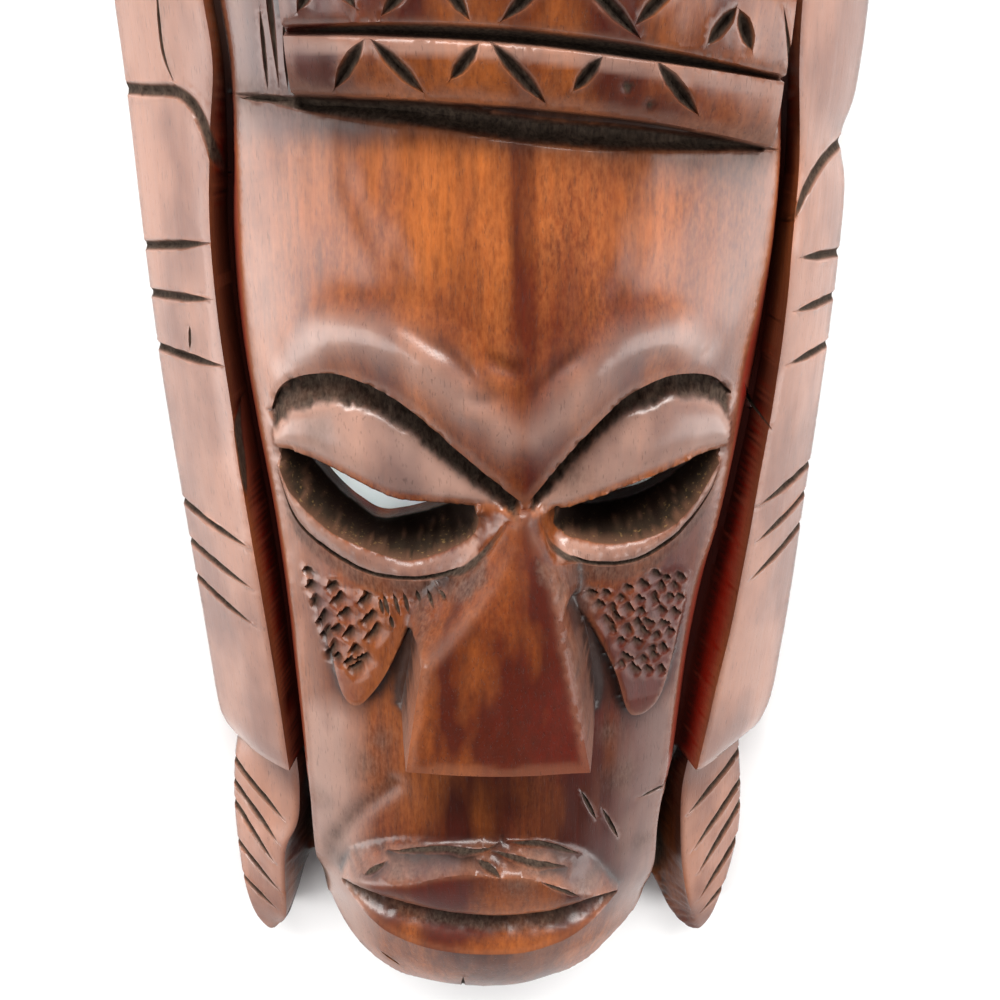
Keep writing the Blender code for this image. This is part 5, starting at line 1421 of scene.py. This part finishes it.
def make_floor_material(colour):
    """Pale matt backdrop card with a faint mottle."""
    material = bpy.data.materials.new("studio card")
    material.use_nodes = True
    tree = material.node_tree
    shader = tree.nodes["Principled BSDF"]
    mottle = stretched_noise(tree, (9.0, 9.0, 9.0), 3.0)
    tint = mixed(tree, mottle, tuple(colour), MOTTLE)
    tree.links.new(tint, shader.inputs["Base Color"])
    shader.inputs["Roughness"].default_value = 0.9
    return material


# Settings, operators and panel


def colour_setting(name, about, *default):
    """A colour in the panel."""
    return bpy.props.FloatVectorProperty(name=name, description=about, subtype="COLOR", size=4,
                                         min=0.0, max=1.0, default=(*default, 1.0))


def share_setting(name, about, default):
    """A value from 0 to 1 in the panel."""
    return bpy.props.FloatProperty(name=name, description=about, subtype="FACTOR", min=0.0,
                                   max=1.0, default=default)


class MaskSettings(bpy.types.PropertyGroup):
    """Finish of the mask."""

    wood_colour: colour_setting("Wood", "The lighter bands of the wood", 0.38, 0.098, 0.016)
    deep_colour: colour_setting("Dark wood", "The darker bands of the wood", 0.046, 0.0055, 0.0012)
    red_colour: colour_setting("Red wood", "Patches of redder wood", 0.070, 0.005, 0.0018)
    channel_colour: colour_setting("Channels", "Stained wood in the long channels",
                                   0.17, 0.0060, 0.0022)
    # Pale sides: handled wood with a painted sheen of the white surroundings
    flank_sheen_colour: colour_setting("Sides", "Paler, more handled wood of the sides",
                                 0.27, 0.115, 0.070)
    cut_colour: colour_setting("Cuts", "Raw wood at the bottom of the cuts", 0.018, 0.012, 0.009)
    roughness: share_setting("Roughness", "Roughness of the wood under the varnish", 0.42)
    varnish: share_setting("Varnish", "Strength of the varnish over it", 1.0)


class StudioSettings(bpy.types.PropertyGroup):
    """Light, floor and camera of the studio."""

    floor_size: bpy.props.FloatProperty(
        name="Floor", description="Width of the floor", unit="LENGTH", min=0.5, default=4.0)
    floor_colour: colour_setting("Floor colour", "Colour of the floor", 0.90, 0.90, 0.90)
    sky: bpy.props.FloatProperty(
        name="Surroundings", description="Brightness of the white surroundings", min=0.0,
        default=1.0)
    lens: bpy.props.FloatProperty(
        name="Lens", description="Focal length of the camera", subtype="DISTANCE_CAMERA",
        min=1.0, default=36.0)


class MASK_OT_carving(bpy.types.Operator):
    """Make the carved mask over its solid."""

    bl_idname = "mask.carving"
    bl_label = "Carved Mask"

    def execute(self, context):
        mask = make_mask("carved_mask", make_wood(context.scene.mask_finish))
        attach(mask, "root")
        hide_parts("mask")
        return {"FINISHED"}


class MASK_OT_studio(bpy.types.Operator):
    """Make the floor, the lights and the camera."""

    bl_idname = "mask.studio"
    bl_label = "Studio"

    def execute(self, context):
        make_studio(context.scene, context.scene.mask_studio)
        return {"FINISHED"}


class MASK_PT_panel(bpy.types.Panel):
    """The mask's settings and operators."""

    bl_idname = "MASK_PT_panel"
    bl_label = "Carved Face Mask"
    bl_space_type = "VIEW_3D"
    bl_region_type = "UI"
    bl_category = "Mask"

    def draw(self, context):
        for settings, operator in ((context.scene.mask_finish, MASK_OT_carving),
                                   (context.scene.mask_studio, MASK_OT_studio)):
            for name in settings.bl_rna.properties.keys():
                if name not in ("rna_type", "name"):
                    self.layout.prop(settings, name)
            self.layout.operator(operator.bl_idname)


FLOOR_Z = -0.0004
CAMERA_PLACE = (0.002, 0.0744, 0.282)
CAMERA_TILT = -22.0
CAMERA_SENSOR = 36.0

# Surroundings, from the horizon to straight above, and how high up they turn dark
HORIZON, ZENITH = (1.6, 1.58, 1.57, 1.0), (0.06, 0.06, 0.065, 1.0)
SKY_FALL = (0.10, 0.65)

# Each light: name, place, what it faces, its size, power and colour
LIGHTS = [
    ("over the crown", (0.0, 1.25, 0.85), (0.0, 0.0, 0.04), (1.5, 0.6), 48.0, (1.0, 0.98, 0.96)),
    ("left side", (-1.2, -0.2, 0.7), (0.0, 0.0, 0.04), (0.8, 1.2), 15.0, (1.0, 0.98, 0.97)),
    ("right side", (1.2, -0.2, 0.7), (0.0, 0.0, 0.04), (0.8, 1.2), 14.0, (1.0, 0.98, 0.97)),
    ("behind the left eye", (-0.034, -0.020, 0.020), (-0.034, -0.037, 0.0), (0.01, 0.01), 0.007,
     (0.92, 1.0, 1.0)),
    ("behind the right eye", (0.046, -0.020, 0.020), (0.046, -0.037, 0.0), (0.01, 0.01), 0.0016,
     (0.92, 1.0, 1.0)),
]


def make_light(scene, name, place, target, size, power, colour):
    """A soft area light that faces a place."""
    lamp = bpy.data.lights.new(name, "AREA")
    lamp.shape = "RECTANGLE"
    lamp.size, lamp.size_y = size
    lamp.energy = power
    lamp.color = colour
    light = bpy.data.objects.new(name, lamp)
    light.location = place
    facing = Vector(target) - Vector(place)
    light.rotation_euler = facing.to_track_quat("-Z", "Y").to_euler()
    scene.collection.objects.link(light)


def make_studio(scene, settings):
    """Floor, white surroundings, soft lights and the camera."""
    half = settings.floor_size / 2
    mesh = bpy.data.meshes.new("floor")
    corners = ((-half, -half), (half, -half), (half, half), (-half, half))
    mesh.from_pydata([(x, y, FLOOR_Z) for x, y in corners], [], [(0, 1, 2, 3)])
    mesh.materials.append(make_floor_material(settings.floor_colour))
    floor = bpy.data.objects.new("floor", mesh)
    scene.collection.objects.link(floor)

    world = bpy.data.worlds.new("white surroundings")
    world.use_nodes = True
    tree = world.node_tree
    background = tree.nodes["Background"]
    direction = add_node(tree, "ShaderNodeTexCoord").outputs["Generated"]
    parts = add_node(tree, "ShaderNodeSeparateXYZ", inputs={0: direction})
    level = stepped(tree, parts.outputs["Z"], *SKY_FALL, 1.0, 0.0)
    tree.links.new(mixed(tree, level, ZENITH, HORIZON), background.inputs["Color"])
    background.inputs["Strength"].default_value = settings.sky
    scene.world = world
    scene.view_settings.view_transform = "Standard"

    for light in LIGHTS:
        make_light(scene, *light)

    lens = bpy.data.cameras.new("camera")
    lens.sensor_width = CAMERA_SENSOR
    lens.lens = settings.lens
    camera = bpy.data.objects.new("camera", lens)
    camera.location = CAMERA_PLACE
    camera.rotation_euler = (math.radians(CAMERA_TILT), 0.0, 0.0)
    scene.collection.objects.link(camera)
    scene.camera = camera


CLASSES = (MaskSettings, StudioSettings, MASK_OT_carving, MASK_OT_studio, MASK_PT_panel)


def register():
    for item in CLASSES:
        bpy.utils.register_class(item)
    bpy.types.Scene.mask_finish = bpy.props.PointerProperty(type=MaskSettings)
    bpy.types.Scene.mask_studio = bpy.props.PointerProperty(type=StudioSettings)


def unregister():
    del bpy.types.Scene.mask_studio
    del bpy.types.Scene.mask_finish
    for item in reversed(CLASSES):
        bpy.utils.unregister_class(item)


def main():
    register()
    bpy.ops.mask.carving()
    bpy.ops.mask.studio()


if __name__ == "__main__":
    main()
